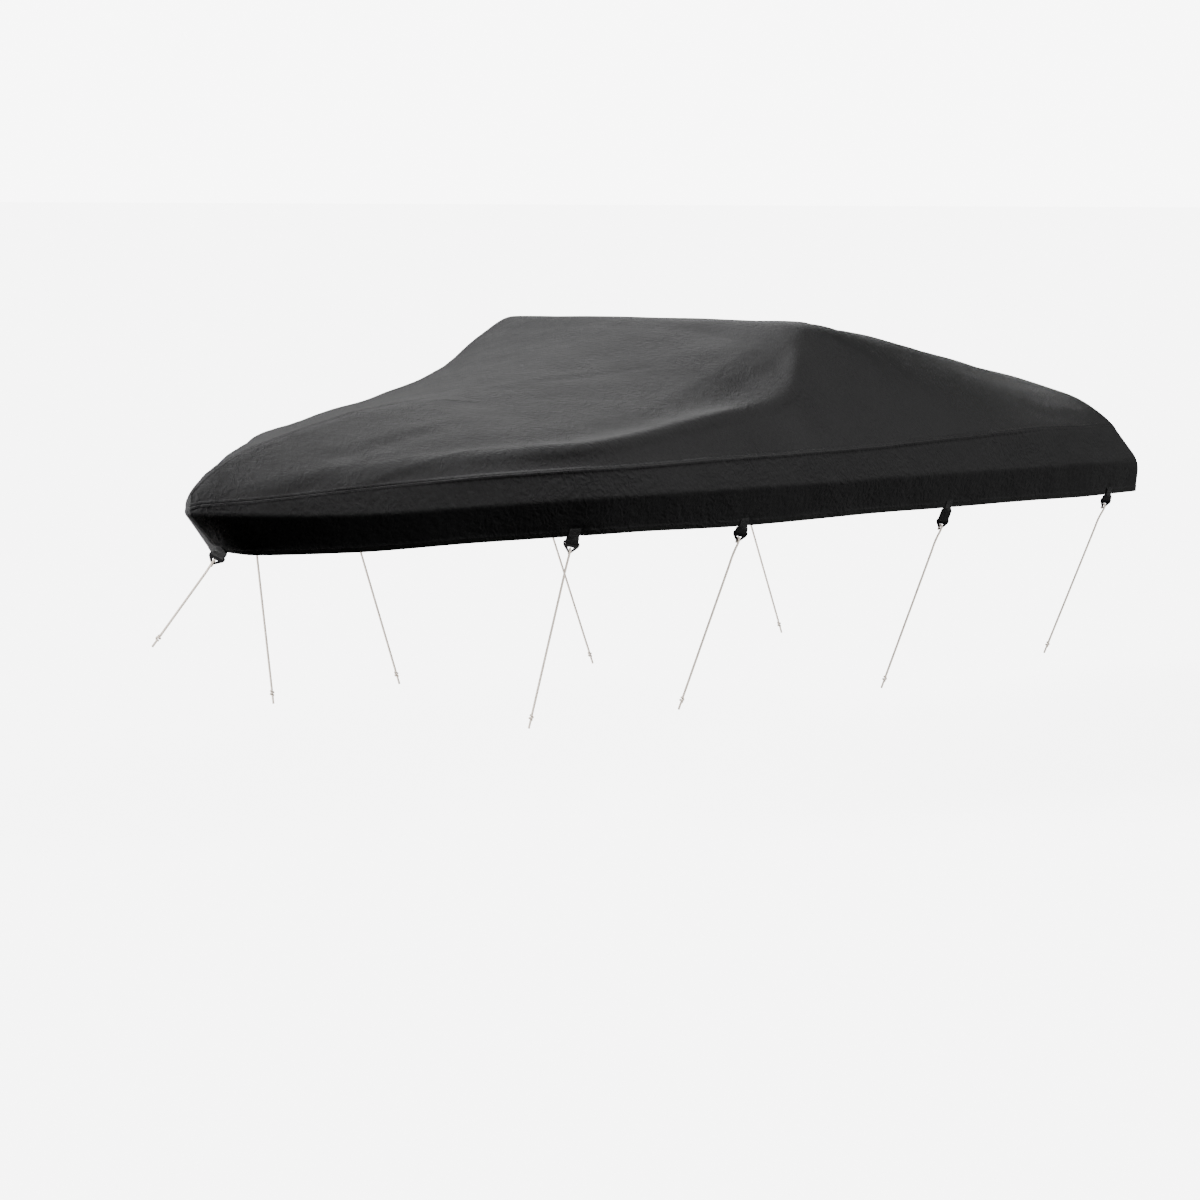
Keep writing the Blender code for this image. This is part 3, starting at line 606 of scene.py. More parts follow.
# A deep pleat drawn up beside each side strap: how far aft of the strap, or fore where negative.
PLEATS = {"port_1": 0.038, "port_2": 0.038, "port_3": 0.038, "port_4": -0.038}
PLEAT_WIDTH, PLEAT_HEIGHT, PLEAT_DEPTH = 0.0085, 0.062, 0.010
PLEAT_LEAN = 0.18  # away from the strap, per height above the hem
PUCKER_LENGTH, PUCKER_HEIGHT, PUCKER_REACH = 0.043, 0.00055, 0.040  # the thread's small waves along a seam
DRAG_HEIGHT = 0.0016  # of the folds that fan up from each side strap
# The cloth lies flat under each strap's sewn end: half the width and the height of that place, its soft
# edge, and the most that the cloth rises there.
FLAT_HALF, FLAT_TOP, FLAT_EDGE, FLAT_MOST = 0.028, 0.034, 0.012, 0.0002
# The starboard side is draped a little differently: its pleats and roll as shares of the port ones, and how
# far its folds lie fore and sway across, as a share of the girth.
FAR_PLEATS, FAR_ROLL, FAR_SHIFT, FAR_SWAY = 0.7, 0.4, 0.06, 0.03
# The cloth is drawn tight over these distances from the hem and the stem, and keeps this share of its slack waves
# there. The listed folds fade out over these distances from the ridge and the stem.
TIGHT_HEM, TIGHT_STEM, TIGHT_SHARE = 0.05, 0.15, 0.25
FOLD_RIDGE, FOLD_STEM = 0.07, 0.05


def spread(low, high, count, ends):
    """Places from low to high, evenly spaced in the middle and at the given distances from each end."""
    near, far = low + np.array(ends[0]), high - np.array(ends[1])
    middle = np.linspace(near.max(), far.min(), count + 2)[1:-1]
    return np.unique(np.concatenate([near, middle, far]))


def row_stations():
    """Stations of the grid's rows, close together beside the stem and the transom's seam."""
    run = knots()
    at = spread(0.0, run[-1], LENGTH_CUTS, (NEAR_EDGE, NEAR_EDGE))
    return np.interp(at, run, np.arange(LAST + 1))


def row_places(u):
    """For each station, the places across of the grid's columns: set out by length along the cloth, so that
    laps and hems keep one width, with the rail on a line of its own."""
    fine = np.linspace(RIDGE, HEM, FINE_CUTS + 1)
    points = surface(u, fine)
    girth = np.concatenate(
        [np.zeros((len(u), 1)), np.cumsum(np.linalg.norm(np.diff(points, axis=1), axis=2), axis=1)], axis=1
    )
    marks = [int(round((mark - RIDGE) / (HEM - RIDGE) * FINE_CUTS)) for mark in (SEAM, RAIL)]
    places = []
    for row in girth:
        seam, rail, hem = row[marks[0]], row[marks[1]], row[-1]
        near = [d * min(1.0, seam / 0.08) for d in NEAR_EDGE]
        crown = spread(0.0, seam, CROWN_CUTS, (near, near))
        band = spread(seam, rail, BAND_CUTS, (NEAR_EDGE, NEAR_RAIL))[1:]
        skirt = spread(rail, hem, SKIRT_CUTS, (NEAR_RAIL, NEAR_HEM))[1:]
        places.append(np.interp(np.concatenate([crown, band, skirt]), row, fine))
    return np.array(places)


def edge_lengths(points):
    """Running lengths of the grid: aft from the stem along each column, and down from the ridge along each
    row."""
    along = np.zeros(points.shape[:2])
    girth = np.zeros(points.shape[:2])
    along[1:] = np.cumsum(np.linalg.norm(np.diff(points, axis=0), axis=2), axis=0)
    girth[:, 1:] = np.cumsum(np.linalg.norm(np.diff(points, axis=1), axis=2), axis=1)
    return along, girth


def lap(distance):
    """Height of a lapped seam at a distance from its line: a groove, and a flat lap with a soft foot."""
    past_lap = ease((distance - LAP + LAP_FOOT / 3) / LAP_FOOT)
    return LAP_RISE * (ease(distance / LAP_GROOVE) - 0.25) * (1 - past_lap)


def hem_turn(distance):
    """Height of the hem's turned-up cloth at a distance from the hem: flat, with a soft foot."""
    return HEM_RISE * (1 - ease((distance - HEM_TURN + LAP_FOOT / 3) / LAP_FOOT))


def pucker(points, distance):
    """Small waves that the thread's tension draws along a seam, fading over a few centimetres from it."""
    x, y, z = points[..., 0], points[..., 1], points[..., 2]
    phase = 2 * np.pi * (x + 0.6 * z + 0.35 * y) / PUCKER_LENGTH
    phase += 2.2 * np.sin(7.3 * x + 3.1 * z) + 1.3 * np.sin(17.0 * x)
    strength = PUCKER_HEIGHT * (0.6 + 0.4 * np.sin(3.7 * x + 1.9 * y))
    return strength * np.sin(phase) * np.exp(-((distance / PUCKER_REACH) ** 2))


def slack(points):
    """The sum of the table's shallow waves, each bent a little by a slower one."""
    total = np.zeros(points.shape[:2])
    for k, row in enumerate(SLACK):
        wave = dict(zip(SLACK_COLUMNS, row))
        way = unit(np.array([wave["x"], wave["y"], wave["z"]]))
        bend = 0.9 * np.sin(2.3 * points[..., 0] + 1.7 * points[..., 1] * (k + 1) + k)
        total += wave["height"] * np.sin(2 * np.pi * (points @ way) / wave["length"] + bend + 1.9 * k)
    return total


def folds(x_aft, girth, share):
    """The sum of the table's folds: each height times exp(-(distance / width) squared) from its line,
    tapered by a smooth step to nothing just past both ends of the line."""
    total = np.zeros_like(girth)
    whole = girth / np.maximum(share, 1e-6)
    for row in FOLDS:
        fold = dict(zip(FOLD_COLUMNS, row))
        run = (x_aft - fold["x0"]) / (fold["x1"] - fold["x0"])
        inside = np.clip(run, 0.0, 1.0)
        mid = fold["girth0"] + inside * (fold["girth1"] - fold["girth0"])
        off = np.hypot((share - mid) * whole, (run - inside) * (fold["x1"] - fold["x0"]))
        taper = ease((0.15 + np.minimum(run, 1 - run)) / 0.4)
        total += fold["height"] * np.exp(-((off / fold["width"]) ** 2)) * taper
    return total


def roll(x_aft, from_crease):
    """The shoulder's roll, height(x) * exp(-((from_crease + inside) / width) squared), and inside it a
    trough that is wider and shallower."""
    x, tall = np.array(ROLL).T
    tall = np.interp(x_aft, x, tall)
    crest = np.exp(-(((from_crease + ROLL_INSIDE) / ROLL_WIDTH) ** 2))
    trough = np.exp(-(((from_crease + ROLL_INSIDE + 2.6 * ROLL_WIDTH) / (1.6 * ROLL_WIDTH)) ** 2))
    return tall * (crest - 0.35 * trough)


def welt(x_aft, from_side_seam):
    """The side seam's welt: a bead exp(-(distance / width) squared) high, fading at both its ends."""
    first, last = SEAM_ROLL_ENDS
    share = ease((x_aft - first) / 0.5) * ease((last - x_aft) / 0.8)
    return SEAM_ROLL * share * np.exp(-((from_side_seam / SEAM_ROLL_WIDTH) ** 2))


def pleats(points, from_hem, mirrored):
    """Each pleat: a trough up the skirt from the hem, deepest a little above it and fading upwards."""
    total = np.zeros_like(from_hem)
    for label, aside in PLEATS.items():
        lean = PLEAT_LEAN * from_hem * np.sign(aside)
        off = (points[..., 0] - at_hem(label, aside)[0] - lean) / PLEAT_WIDTH
        rise = (1 - ease(from_hem / PLEAT_HEIGHT)) * ease(from_hem / 0.006 + 0.4)
        total -= PLEAT_DEPTH * np.exp(-(off**2)) * rise
    return total * (FAR_PLEATS if mirrored else 1.0)


def drag(points, from_hem):
    """Cloth drawn down at each side strap: soft folds that fan from it and die out on the crown. Each is a
    sine of the distance aside over a width that grows with the height."""
    total = np.zeros_like(from_hem)
    for label in PLEATS:
        off = points[..., 0] - at_hem(label)[0]
        fan = np.sin(off / (0.016 + 0.30 * from_hem) * 2.4 + 0.8)
        reach = np.exp(-((off / (0.05 + 0.55 * from_hem)) ** 2)) * np.exp(-from_hem / 0.16)
        total += DRAG_HEIGHT * fan * reach
    return total


def grid_normals(points):
    """Unit normals of the port grid, out of the cloth: the cross product of the slopes across and along. On
    the middle plane they have no part aside."""
    normals = np.cross(np.gradient(points, axis=1), np.gradient(points, axis=0))
    normals[0, 0] = normals[1, 1]
    normals = unit(normals)
    normals[:, 0, 1] = 0.0
    normals[0, :, 1] = 0.0
    return unit(normals)


stations = row_stations()
places = row_places(stations)
smooth_face = surface(stations, places)
from_stem, from_ridge = edge_lengths(smooth_face)
seam_column = CROWN_CUTS + 2 * len(NEAR_EDGE) - 1
from_side_seam = np.abs(from_ridge - from_ridge[:, seam_column : seam_column + 1])
from_hem = from_ridge[:, -1:] - from_ridge
from_stern = from_stem[-1:] - from_stem
girth_share = from_ridge / from_ridge[:, -1:]
creases = np.array([np.interp(CREASE, *pair) for pair in zip(places, from_ridge)])
from_crease = from_ridge - creases[:, None]
out_of_cloth = grid_normals(smooth_face)
x_aft = smooth_face[..., 0] + origin()[0]


def dressed_face(mirrored):
    """The outer face with its seams, hem and folds, raised along the normals. The starboard one lies
    mirrored, with folds of its own."""
    points, normals = to_side(smooth_face, mirrored), to_side(out_of_cloth, mirrored)
    sewn = np.minimum.reduce([from_ridge, from_side_seam, from_stem, from_stern])
    flat_seam = ease((x_aft - FLAT_SEAM_FROM) / FLAT_SEAM_FADE) * (from_ridge <= sewn)
    height = lap(sewn) * (1 - FLAT_SEAM_SHARE * flat_seam)
    height += pucker(points, np.minimum(sewn, from_hem)) * (1 - flat_seam)
    height += hem_turn(from_hem)
    loose = ease(from_hem / TIGHT_HEM) * ease(from_stem / TIGHT_STEM)
    height += slack(points) * (TIGHT_SHARE + (1 - TIGHT_SHARE) * loose)
    fold_share = girth_share + (FAR_SWAY * np.sin(5.0 * x_aft) if mirrored else 0.0)
    off_ridge = ease(from_ridge / FOLD_RIDGE) * ease(from_stem / FOLD_STEM)
    height += folds(x_aft + (FAR_SHIFT if mirrored else 0.0), from_ridge, fold_share) * off_ridge
    height += roll(x_aft, from_crease) * (FAR_ROLL if mirrored else 1.0) + welt(x_aft, from_side_seam)
    height += drag(smooth_face, from_hem) + pleats(smooth_face, from_hem, mirrored)
    strapped = np.zeros_like(height)
    for label in TIES:
        off = np.linalg.norm((smooth_face - at_hem(label))[..., :2], axis=-1)
        beside, above = ease((off - FLAT_HALF) / FLAT_EDGE), ease((from_hem - FLAT_TOP) / FLAT_EDGE)
        strapped = np.maximum(strapped, (1 - beside) * (1 - above))
    height = height * (1 - strapped) + np.minimum(height, FLAT_MOST) * strapped
    return points + normals * height[..., None], normals


def sheet_mesh(name, outer, normals, marks):
    """A closed sheet from a grid of its outer face: the inner face lies CLOTH inside it, and a rim joins
    them. marks are the point values that its material reads."""
    rows, columns = outer.shape[:2]
    inner = outer - normals * CLOTH
    index = np.arange(rows * columns).reshape(rows, columns)
    quads = np.stack([index[:-1, :-1], index[:-1, 1:], index[1:, 1:], index[1:, :-1]], axis=-1)
    quads = quads.reshape(-1, 4)
    under = quads[:, ::-1] + rows * columns
    ring = np.concatenate([index[0, :-1], index[:-1, -1], index[-1, :0:-1], index[:0:-1, 0]])
    ahead = np.roll(ring, -1)
    rim = np.stack([ahead, ring, ring + rows * columns, ahead + rows * columns], axis=-1)
    mesh = bpy.data.meshes.new(name)
    points = np.concatenate([outer.reshape(-1, 3), inner.reshape(-1, 3)])
    mesh.from_pydata(points.tolist(), [], np.concatenate([quads, under, rim]).tolist())
    for key, value in marks.items():
        data = np.concatenate([value.ravel(), value.ravel()]).astype(np.float32)
        mesh.attributes.new(key, "FLOAT", "POINT").data.foreach_set("value", data)
    mesh.shade_smooth()
    mesh.set_sharp_from_angle(angle=math.radians(50))
    return outward(in_scene(name, mesh))


CLOTH_BLACK = (0.030, 0.030, 0.031)
CLOTH_WORN = (0.045, 0.045, 0.046)
CLOTH_WELT_HIGHLIGHT = (0.105, 0.105, 0.107)  # painted highlight along the side seam's welt
THREAD = (0.075, 0.075, 0.078)
STITCH_LENGTH = 0.0042  # from one stitch's start to the next's
STITCH_SHARE = 0.72  # of that length, where the thread lies on top
STITCH_HALF = 0.0007  # half of the thread's width
SEAM_ROWS, HEM_ROW = (0.0032, 0.0085), 0.0215  # the rows' distances from the seam and from the hem
WEAVE_PITCH = 0.0012


def cloth_material():
    """Black woven polyester: a fine plain weave, short curly crinkles, soft mottling, rows of topstitching beside
    the seams and above the hem, and a painted highlight along the side seam's welt."""
    cloth = Finish("cover_cloth")
    calc = cloth.calc

    def noise(where, scale, detail, roughness=0.5):
        """A noise node's outputs."""
        values = {"Vector": where, "Scale": scale, "Detail": detail, "Roughness": roughness}
        return cloth.add("TexNoise", values)

    def mark(name):
        """One of the panel's point values."""
        return cloth.add("Attribute", attribute_name=name)["Fac"]

    def stitches(distance, row, run):
        """Dashes along a row at a set distance from the seam or hem."""
        on_row = calc("LESS_THAN", calc("ABSOLUTE", calc("SUBTRACT", distance, row)), STITCH_HALF)
        dash = calc("LESS_THAN", calc("FRACT", calc("DIVIDE", run, STITCH_LENGTH)), STITCH_SHARE)
        return calc("MULTIPLY", on_row, dash)

    where = cloth.add("TexCoord")["Object"]
    mottle = noise(where, 6.5, 5.0, 0.62)["Fac"]
    speck = noise(where, 95.0, 3.0, 0.6)["Fac"]
    ripple = noise(where, 42.0, 3.0, 0.6)["Fac"]

    # Crinkles: thin ridges where a noise, bent by a slower one, passes its middle value, in patches.
    swirl = noise(where, 11.0, 2.0)["Color"]
    bent = cloth.add("VectorMath", {0: swirl, 1: (0.11, 0.11, 0.11), 2: where}, operation="MULTIPLY_ADD")[0]
    curl = noise(bent, 34.0, 2.0)["Fac"]
    ridge = calc("SUBTRACT", 1.0, calc("ABSOLUTE", calc("MULTIPLY_ADD", curl, 7.0, -3.5)))
    patches = noise(where, 3.2, 1.0)["Fac"]
    patchy = cloth.add("MapRange", {"Value": patches, "From Min": 0.30, "From Max": 0.60})["Result"]
    crinkle = calc("MULTIPLY", calc("MAXIMUM", ridge, 0.0), patchy)

    sewn, hem, run = mark("sewn"), mark("hem"), mark("run")
    thread = stitches(hem, HEM_ROW, run)
    for row in SEAM_ROWS:
        thread = calc("MAXIMUM", thread, stitches(sewn, row, run))
    tone = calc("MULTIPLY_ADD", speck, 0.5, calc("MULTIPLY", mottle, 0.5))
    worn = cloth.add("MapRange", {"Value": tone, "From Min": 0.36, "From Max": 0.64})["Result"]
    colour = cloth.mix(worn, CLOTH_BLACK, CLOTH_WORN)
    # A painted highlight: paler cloth colour where the side seam's welt rises.
    colour = cloth.mix(mark("welt"), colour, CLOTH_WELT_HIGHLIGHT)
    cloth.put("Base Color", cloth.mix(thread, colour, THREAD))

    weave_along = calc("SINE", calc("MULTIPLY", run, 2 * math.pi / WEAVE_PITCH))
    weave_down = calc("SINE", calc("MULTIPLY", mark("down"), 2 * math.pi / WEAVE_PITCH))
    fine = cloth.bump(calc("MULTIPLY", weave_along, weave_down), 0.35, 0.0002)
    small = cloth.bump(calc("MULTIPLY_ADD", speck, 0.5, thread), 0.7, 0.0009, fine)
    creased = calc("MULTIPLY_ADD", crinkle, 0.45, calc("MULTIPLY", mottle, 1.3))
    creased = calc("MULTIPLY_ADD", ripple, 1.1, creased)
    cloth.put("Normal", cloth.bump(creased, 0.8, 0.0040, small))
    matt = cloth.add("MapRange", {"Value": mottle, "To Min": 0.55, "To Max": 0.74})["Result"]
    cloth.put("Roughness", matt)
    cloth.put("Sheen Weight", 0.12)
    cloth.put("Sheen Roughness", 0.5)
    cloth.put("Specular IOR Level", 0.35)
    return cloth.material


def panel(name, outer, normals, marks):
    obj = sheet_mesh(f"woven_{name}", outer, normals, marks)
    obj.data.materials.append(cover_cloth)
    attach(obj, "root")
    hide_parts(f"cloth_{name}")
    return obj


cover_cloth = cloth_material()
# Each panel's cut size, and its area in square metres.
CROWN_FLAT, CROWN_AREA = (1.50, 5.60), 4.95
SIDE_FLAT, SIDE_AREA = (0.42, 5.75), 1.54
faces = {side: dressed_face(side == "starboard") for side in ("port", "starboard")}
cross_run = np.minimum(from_stem, from_stern) < np.minimum(from_ridge, from_side_seam)
stitch_run = np.where(cross_run, from_ridge, from_stem)
# Painted highlight along the side seam's welt: strongest on its crest and fading aft.
welt_highlight = welt(x_aft, 1.6 * from_side_seam) / SEAM_ROLL * ease((SEAM_ROLL_ENDS[1] - x_aft) / 3.2)
for side, (outer, normals) in faces.items():
    for name, cut, lines, flat, area in (
        ("crown", slice(0, seam_column + 1), (from_ridge, from_side_seam), CROWN_FLAT, CROWN_AREA),
        ("side", slice(seam_column, None), (from_side_seam,), SIDE_FLAT, SIDE_AREA),
    ):
        sewn = np.minimum.reduce([*lines, from_stem, from_stern])
        marks = {"sewn": sewn, "hem": from_hem, "run": stitch_run, "down": from_ridge, "welt": welt_highlight}
        marks = {key: value[:, cut] for key, value in marks.items()}
        panel(f"{name}_{side}", outer[:, cut], normals[:, cut], marks)


def transom_grid():
    """The panel across the stern: a grid of columns from the outline's port corner over the ridge to
    starboard, and rows from the outline down to the hem. Its two sides follow the side panels' ends."""
    corner = int(np.argmin(np.abs(places[-1] - TRANSOM_TOP)))
    port, board = faces["port"][0][-1], faces["starboard"][0][-1]
    outline = np.concatenate([port[corner::-1], board[1 : corner + 1]])
    run = running(outline)
    side = [p[corner:] for p in (port, board)]
    down = running(side[0])
    depth = (down / down[-1])[:, None, None]
    share = 0.5 * np.abs(outline[:, 1] / outline[0, 1]) + 0.5 * np.abs(np.linspace(-1, 1, len(outline)))
    foot = np.zeros_like(outline)
    foot[:, 0] = side[0][-1, 0] + TRANSOM_BULGE * (1 - share**2)
    foot[:, 1] = np.where(outline[:, 1] < 0, side[0][-1, 1], side[1][-1, 1]) * share
    foot[:, 2] = side[0][-1, 2]
    ruled = outline + (foot - outline) * depth
    for end, edge in ((0, side[0]), (-1, side[1])):
        away = np.abs(run - run[end]) / TRANSOM_BLEND
        ruled += (edge[:, None] - ruled[:, end : end + 1 or None]) * (np.exp(-(away**2)))[None, :, None]
    return ruled, run, down


rear, rear_run, rear_down = transom_grid()
rear_normals = unit(np.cross(np.gradient(rear, axis=0), np.gradient(rear, axis=1)))
if rear_normals[..., 0].mean() < 0:
    rear_normals = -rear_normals
rear_lengths = np.cumsum(np.linalg.norm(np.diff(rear, axis=0), axis=2), axis=0)
rear_top = np.concatenate([np.zeros((1, rear.shape[1])), rear_lengths])
rear_side = np.minimum(rear_run, rear_run[-1] - rear_run)[None].repeat(len(rear_down), axis=0)
rear_sewn = np.minimum(rear_top, rear_side)
rear_hem = rear_top[-1:] - rear_top
rear_height = lap(rear_sewn) * (rear_sewn > 0) + pucker(rear, rear_sewn) * ease(rear_sewn / 0.01)
rear_height += hem_turn(rear_hem) * ease(rear_sewn / 0.02)
rear_height += slack(rear) * ease(rear_sewn / 0.08) * ease(rear_hem / 0.04)
rear_outer = rear + rear_normals * rear_height[..., None]
across = np.broadcast_to(rear_run, rear_sewn.shape)
rear_marks = {"sewn": rear_sewn, "hem": rear_hem, "run": across, "down": rear_top}
panel("transom", rear_outer, rear_normals, rear_marks)


# ---- Webbing straps --------------------------------------------------------------------------------------
# Nine loops of 48 mm black polyester webbing. Each is sewn to both faces of the skirt above the hem and
# carries a ring in its fold.

STRAP = 0.002  # thickness
STRAP_SEWN = 0.030  # how far up the skirt each end is sewn
STRAP_LEG = RING_PLATE / 2 + 2 * FIT_GAP + STRAP / 2
HEM_LEG = CLOTH / 2 + 2 * FIT_GAP + STRAP / 2
WEBBING = (0.012, 0.012, 0.013)
WEBBING_THREAD = (0.045, 0.045, 0.047)
RIB_PITCH, WEFT_PITCH = 0.0030, 0.0014
BOX_TOP, BOX_FOOT, BOX_HALF, BOX_STITCH = 0.003, 0.0265, 0.0205, 0.0006  # the stitched box on each sewn end


def strap_line(bar):
    """The strap's middle line as depths and distances out: down the skirt's outside, round the ring's bar,
    at that depth, and up the inside, with the unit normals of that line."""
    down = [(-STRAP_SEWN, HEM_LEG), (-STRAP_SEWN / 2, HEM_LEG), (0.0, HEM_LEG)]
    down += [(BEND * k / 3, HEM_LEG + (STRAP_LEG - HEM_LEG) * k / 3) for k in (1, 2, 3)]
    down += [(0.5 * (BEND + bar), STRAP_LEG), (bar, STRAP_LEG)]
    angle = np.radians([22.5, 45, 67.5, 90, 112.5, 135, 157.5])
    turn = np.stack([bar + STRAP_LEG * np.sin(angle), STRAP_LEG * np.cos(angle)], axis=1)
    line = np.vstack([down, turn, [(d, -o) for d, o in reversed(down)]])
    run = running(line)
    fine = np.linspace(0, run[-1], 90)
    line = np.stack([np.interp(fine, run, line[:, k]) for k in (0, 1)], axis=1)
    slope = unit(np.gradient(line, axis=0))
    return line, np.stack([-slope[:, 1], slope[:, 0]], axis=1), fine


def webbing_section():
    """Points round the webbing's section, as distances aside and shares of its thickness: flat faces and
    round selvedges."""
    flat = np.linspace(-1, 1, 17)[1:-1] * (STRAP_WIDTH / 2 - STRAP / 2)
    angle = np.radians([-90, -45, 0, 45, 90])
    right = np.stack([STRAP_WIDTH / 2 - STRAP / 2 + STRAP / 2 * np.cos(angle), 0.5 * np.sin(angle)], axis=1)
    left = right[::-1] * (-1, 1)
    top = np.stack([flat[::-1], np.full(len(flat), 0.5)], axis=1)
    return np.vstack([right, top, left, top[::-1] * (1, -1)])


def webbing_material():
    """Ribbed webbing: ribs run lengthwise and the weft crosses them. A box of stitching with a cross in it
    lies on the sewn end, where the cross is the line |aside| = |slope (run - the box's middle)|."""
    ribbed = Finish("webbing")
    calc = ribbed.calc
    axes = ribbed.add("SeparateXYZ", {"Vector": ribbed.add("TexCoord")["UV"]})
    run, aside = axes["X"], axes["Y"]
    ribs = calc("ABSOLUTE", calc("SINE", calc("MULTIPLY", aside, math.pi / RIB_PITCH)))
    weft = calc("ABSOLUTE", calc("SINE", calc("MULTIPLY", run, math.pi / WEFT_PITCH)))
    woven = calc("MULTIPLY_ADD", ribs, 0.8, calc("MULTIPLY", weft, 0.35))

    def near(value, place):
        """1 where a value lies within BOX_STITCH of a place, and 0 elsewhere."""
        return calc("LESS_THAN", calc("ABSOLUTE", calc("SUBTRACT", value, place)), BOX_STITCH)

    away = calc("ABSOLUTE", aside)
    slope = 2 * BOX_HALF / (BOX_FOOT - BOX_TOP)
    beside = calc("ABSOLUTE", calc("MULTIPLY_ADD", run, slope, -slope * (BOX_TOP + BOX_FOOT) / 2))
    in_box = calc("MULTIPLY", calc("GREATER_THAN", run, BOX_TOP), calc("LESS_THAN", run, BOX_FOOT))
    ends = calc("MAXIMUM", near(run, BOX_TOP), near(run, BOX_FOOT))
    ends = calc("MULTIPLY", ends, calc("LESS_THAN", away, BOX_HALF))
    lines = calc("MAXIMUM", near(away, BOX_HALF), near(calc("SUBTRACT", away, beside), 0.0))
    thread = calc("MAXIMUM", calc("MULTIPLY", lines, in_box), ends)
    ribbed.put("Base Color", ribbed.mix(thread, WEBBING, WEBBING_THREAD))
    ribbed.put("Normal", ribbed.bump(calc("MULTIPLY_ADD", thread, 0.9, woven), 0.8, 0.0005))
    ribbed.put("Roughness", 0.72)
    ribbed.put("Sheen Weight", 0.15)
    return ribbed.material


webbing = webbing_material()
straps = []
section = webbing_section()
for label in LABELS:
    line, line_normals, strap_run = strap_line(bar_depth(label))
    depth = line[:, None, 0] + STRAP * section[None, :, 1] * line_normals[:, None, 0]
    out = line[:, None, 1] + STRAP * section[None, :, 1] * line_normals[:, None, 1]
    points = on_tie(label, section[None, :, 0], depth, out)
    uv = np.stack(np.broadcast_arrays(strap_run[:, None], section[None, :, 0]), axis=-1)
    strap = outward(grid_mesh(f"webbing_{label}", points, uv, around=True, caps=True))
    strap.data.materials.append(webbing)
    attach(strap, "root")
    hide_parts(f"strap_{label}")
    straps.append(strap)


# ---- Rings -----------------------------------------------------------------------------------------------
# Nine moulded nylon rings, black: a five-sided plate with the strap's slot behind its bar and a three-
# cornered hole for the rope. Their edges are rounded, as they leave the mould.

SLOT_WIDTH = STRAP_WIDTH + 4 * FIT_GAP
SLOT_DEPTH = 0.0050
RING_WIDTH = SLOT_WIDTH + 0.013
RING_EDGE = 0.0009  # radius of the rounded edges
# Half of the plate's outline, as distances aside of its middle and below the bar's lower edge.
RING_OUTLINE = (
    (0.0265, -RING_BAR),
    (RING_WIDTH / 2 - 0.001, -0.003),
    (RING_WIDTH / 2, 0.004),
    (RING_WIDTH / 2 - 0.002, 0.012),
    (0.0065, 0.037),
    (0.0030, 0.040),
)
# The rope's hole: the depth and half the width of its top, and the same of its foot.
HOLE_TOP, HOLE_HALF, HOLE_FOOT, FOOT_HALF = 0.0160, 0.0115, 0.0335, 0.002
NYLON = (0.010, 0.010, 0.011)
NYLON_SCUFFED = (0.0170, 0.0170, 0.0187)


def rounded(loop, reach):
    """A closed outline with each corner turned by a quadratic curve whose ends lie reach away from it."""
    loop = np.array(loop)
    back, on = np.roll(loop, 1, axis=0) - loop, np.roll(loop, -1, axis=0) - loop
    back_length = np.linalg.norm(back, axis=1, keepdims=True)
    on_length = np.linalg.norm(on, axis=1, keepdims=True)
    enter = loop + back * np.minimum(reach / back_length, 0.45)
    leave = loop + on * np.minimum(reach / on_length, 0.45)
    t = np.linspace(0, 1, 5)[None, :, None]
    return corner_turn(t, enter[:, None], loop[:, None], leave[:, None]).reshape(-1, 2)


def ring_flat():
    """The ring laid flat, as points and faces: a filled outline with its two openings, given its thickness
    with rounded edges."""
    outline = list(RING_OUTLINE) + [(-w, d) for w, d in reversed(RING_OUTLINE)]
    half = SLOT_WIDTH / 2
    slot = [(half, 0.0), (half, SLOT_DEPTH), (-half, SLOT_DEPTH), (-half, 0.0)]
    hole = [(HOLE_HALF, HOLE_TOP), (FOOT_HALF, HOLE_FOOT), (-FOOT_HALF, HOLE_FOOT), (-HOLE_HALF, HOLE_TOP)]
    curve = bpy.data.curves.new("ring", "CURVE")
    curve.dimensions = "2D"
    curve.fill_mode = "BOTH"
    curve.extrude = RING_PLATE / 2 - RING_EDGE
    curve.bevel_depth = RING_EDGE
    curve.bevel_resolution = 3
    curve.offset = -RING_EDGE
    for loop, reach in ((outline, 0.0025), (slot, 0.001), (hole, 0.0016)):
        points = rounded(loop, reach)
        spline = curve.splines.new("POLY")
        spline.points.add(len(points) - 1)
        spline.use_cyclic_u = True
        places = np.column_stack([points, np.zeros(len(points)), np.ones(len(points))])
        spline.points.foreach_set("co", places.ravel())
    guide = bpy.data.objects.new("ring_guide", curve)
    flat = bpy.data.meshes.new_from_object(guide)
    bpy.data.objects.remove(guide)
    points = np.zeros(len(flat.vertices) * 3)
    flat.vertices.foreach_get("co", points)
    return points.reshape(-1, 3), [tuple(p.vertices) for p in flat.polygons]


def ring_material():
    """Moulded nylon: a faint grain from the mould, a soft shine, and scuffs that dull it in places."""
    moulded = Finish("moulded_nylon")
    where = moulded.add("TexCoord")["Object"]
    grain = moulded.add("TexNoise", {"Vector": where, "Scale": 1400.0, "Detail": 2.0})["Fac"]
    scratches = {"Vector": where, "Scale": 160.0, "Detail": 5.0, "Roughness": 0.7}
    scuff = moulded.add("TexNoise", scratches)["Fac"]
    dulled = moulded.add("MapRange", {"Value": scuff, "To Min": 0.30, "To Max": 0.58})["Result"]
    moulded.put("Roughness", dulled)
    moulded.put("Normal", moulded.bump(grain, 0.25, 0.0002))
    moulded.put("Base Color", moulded.mix(scuff, NYLON, NYLON_SCUFFED))
    return moulded.material


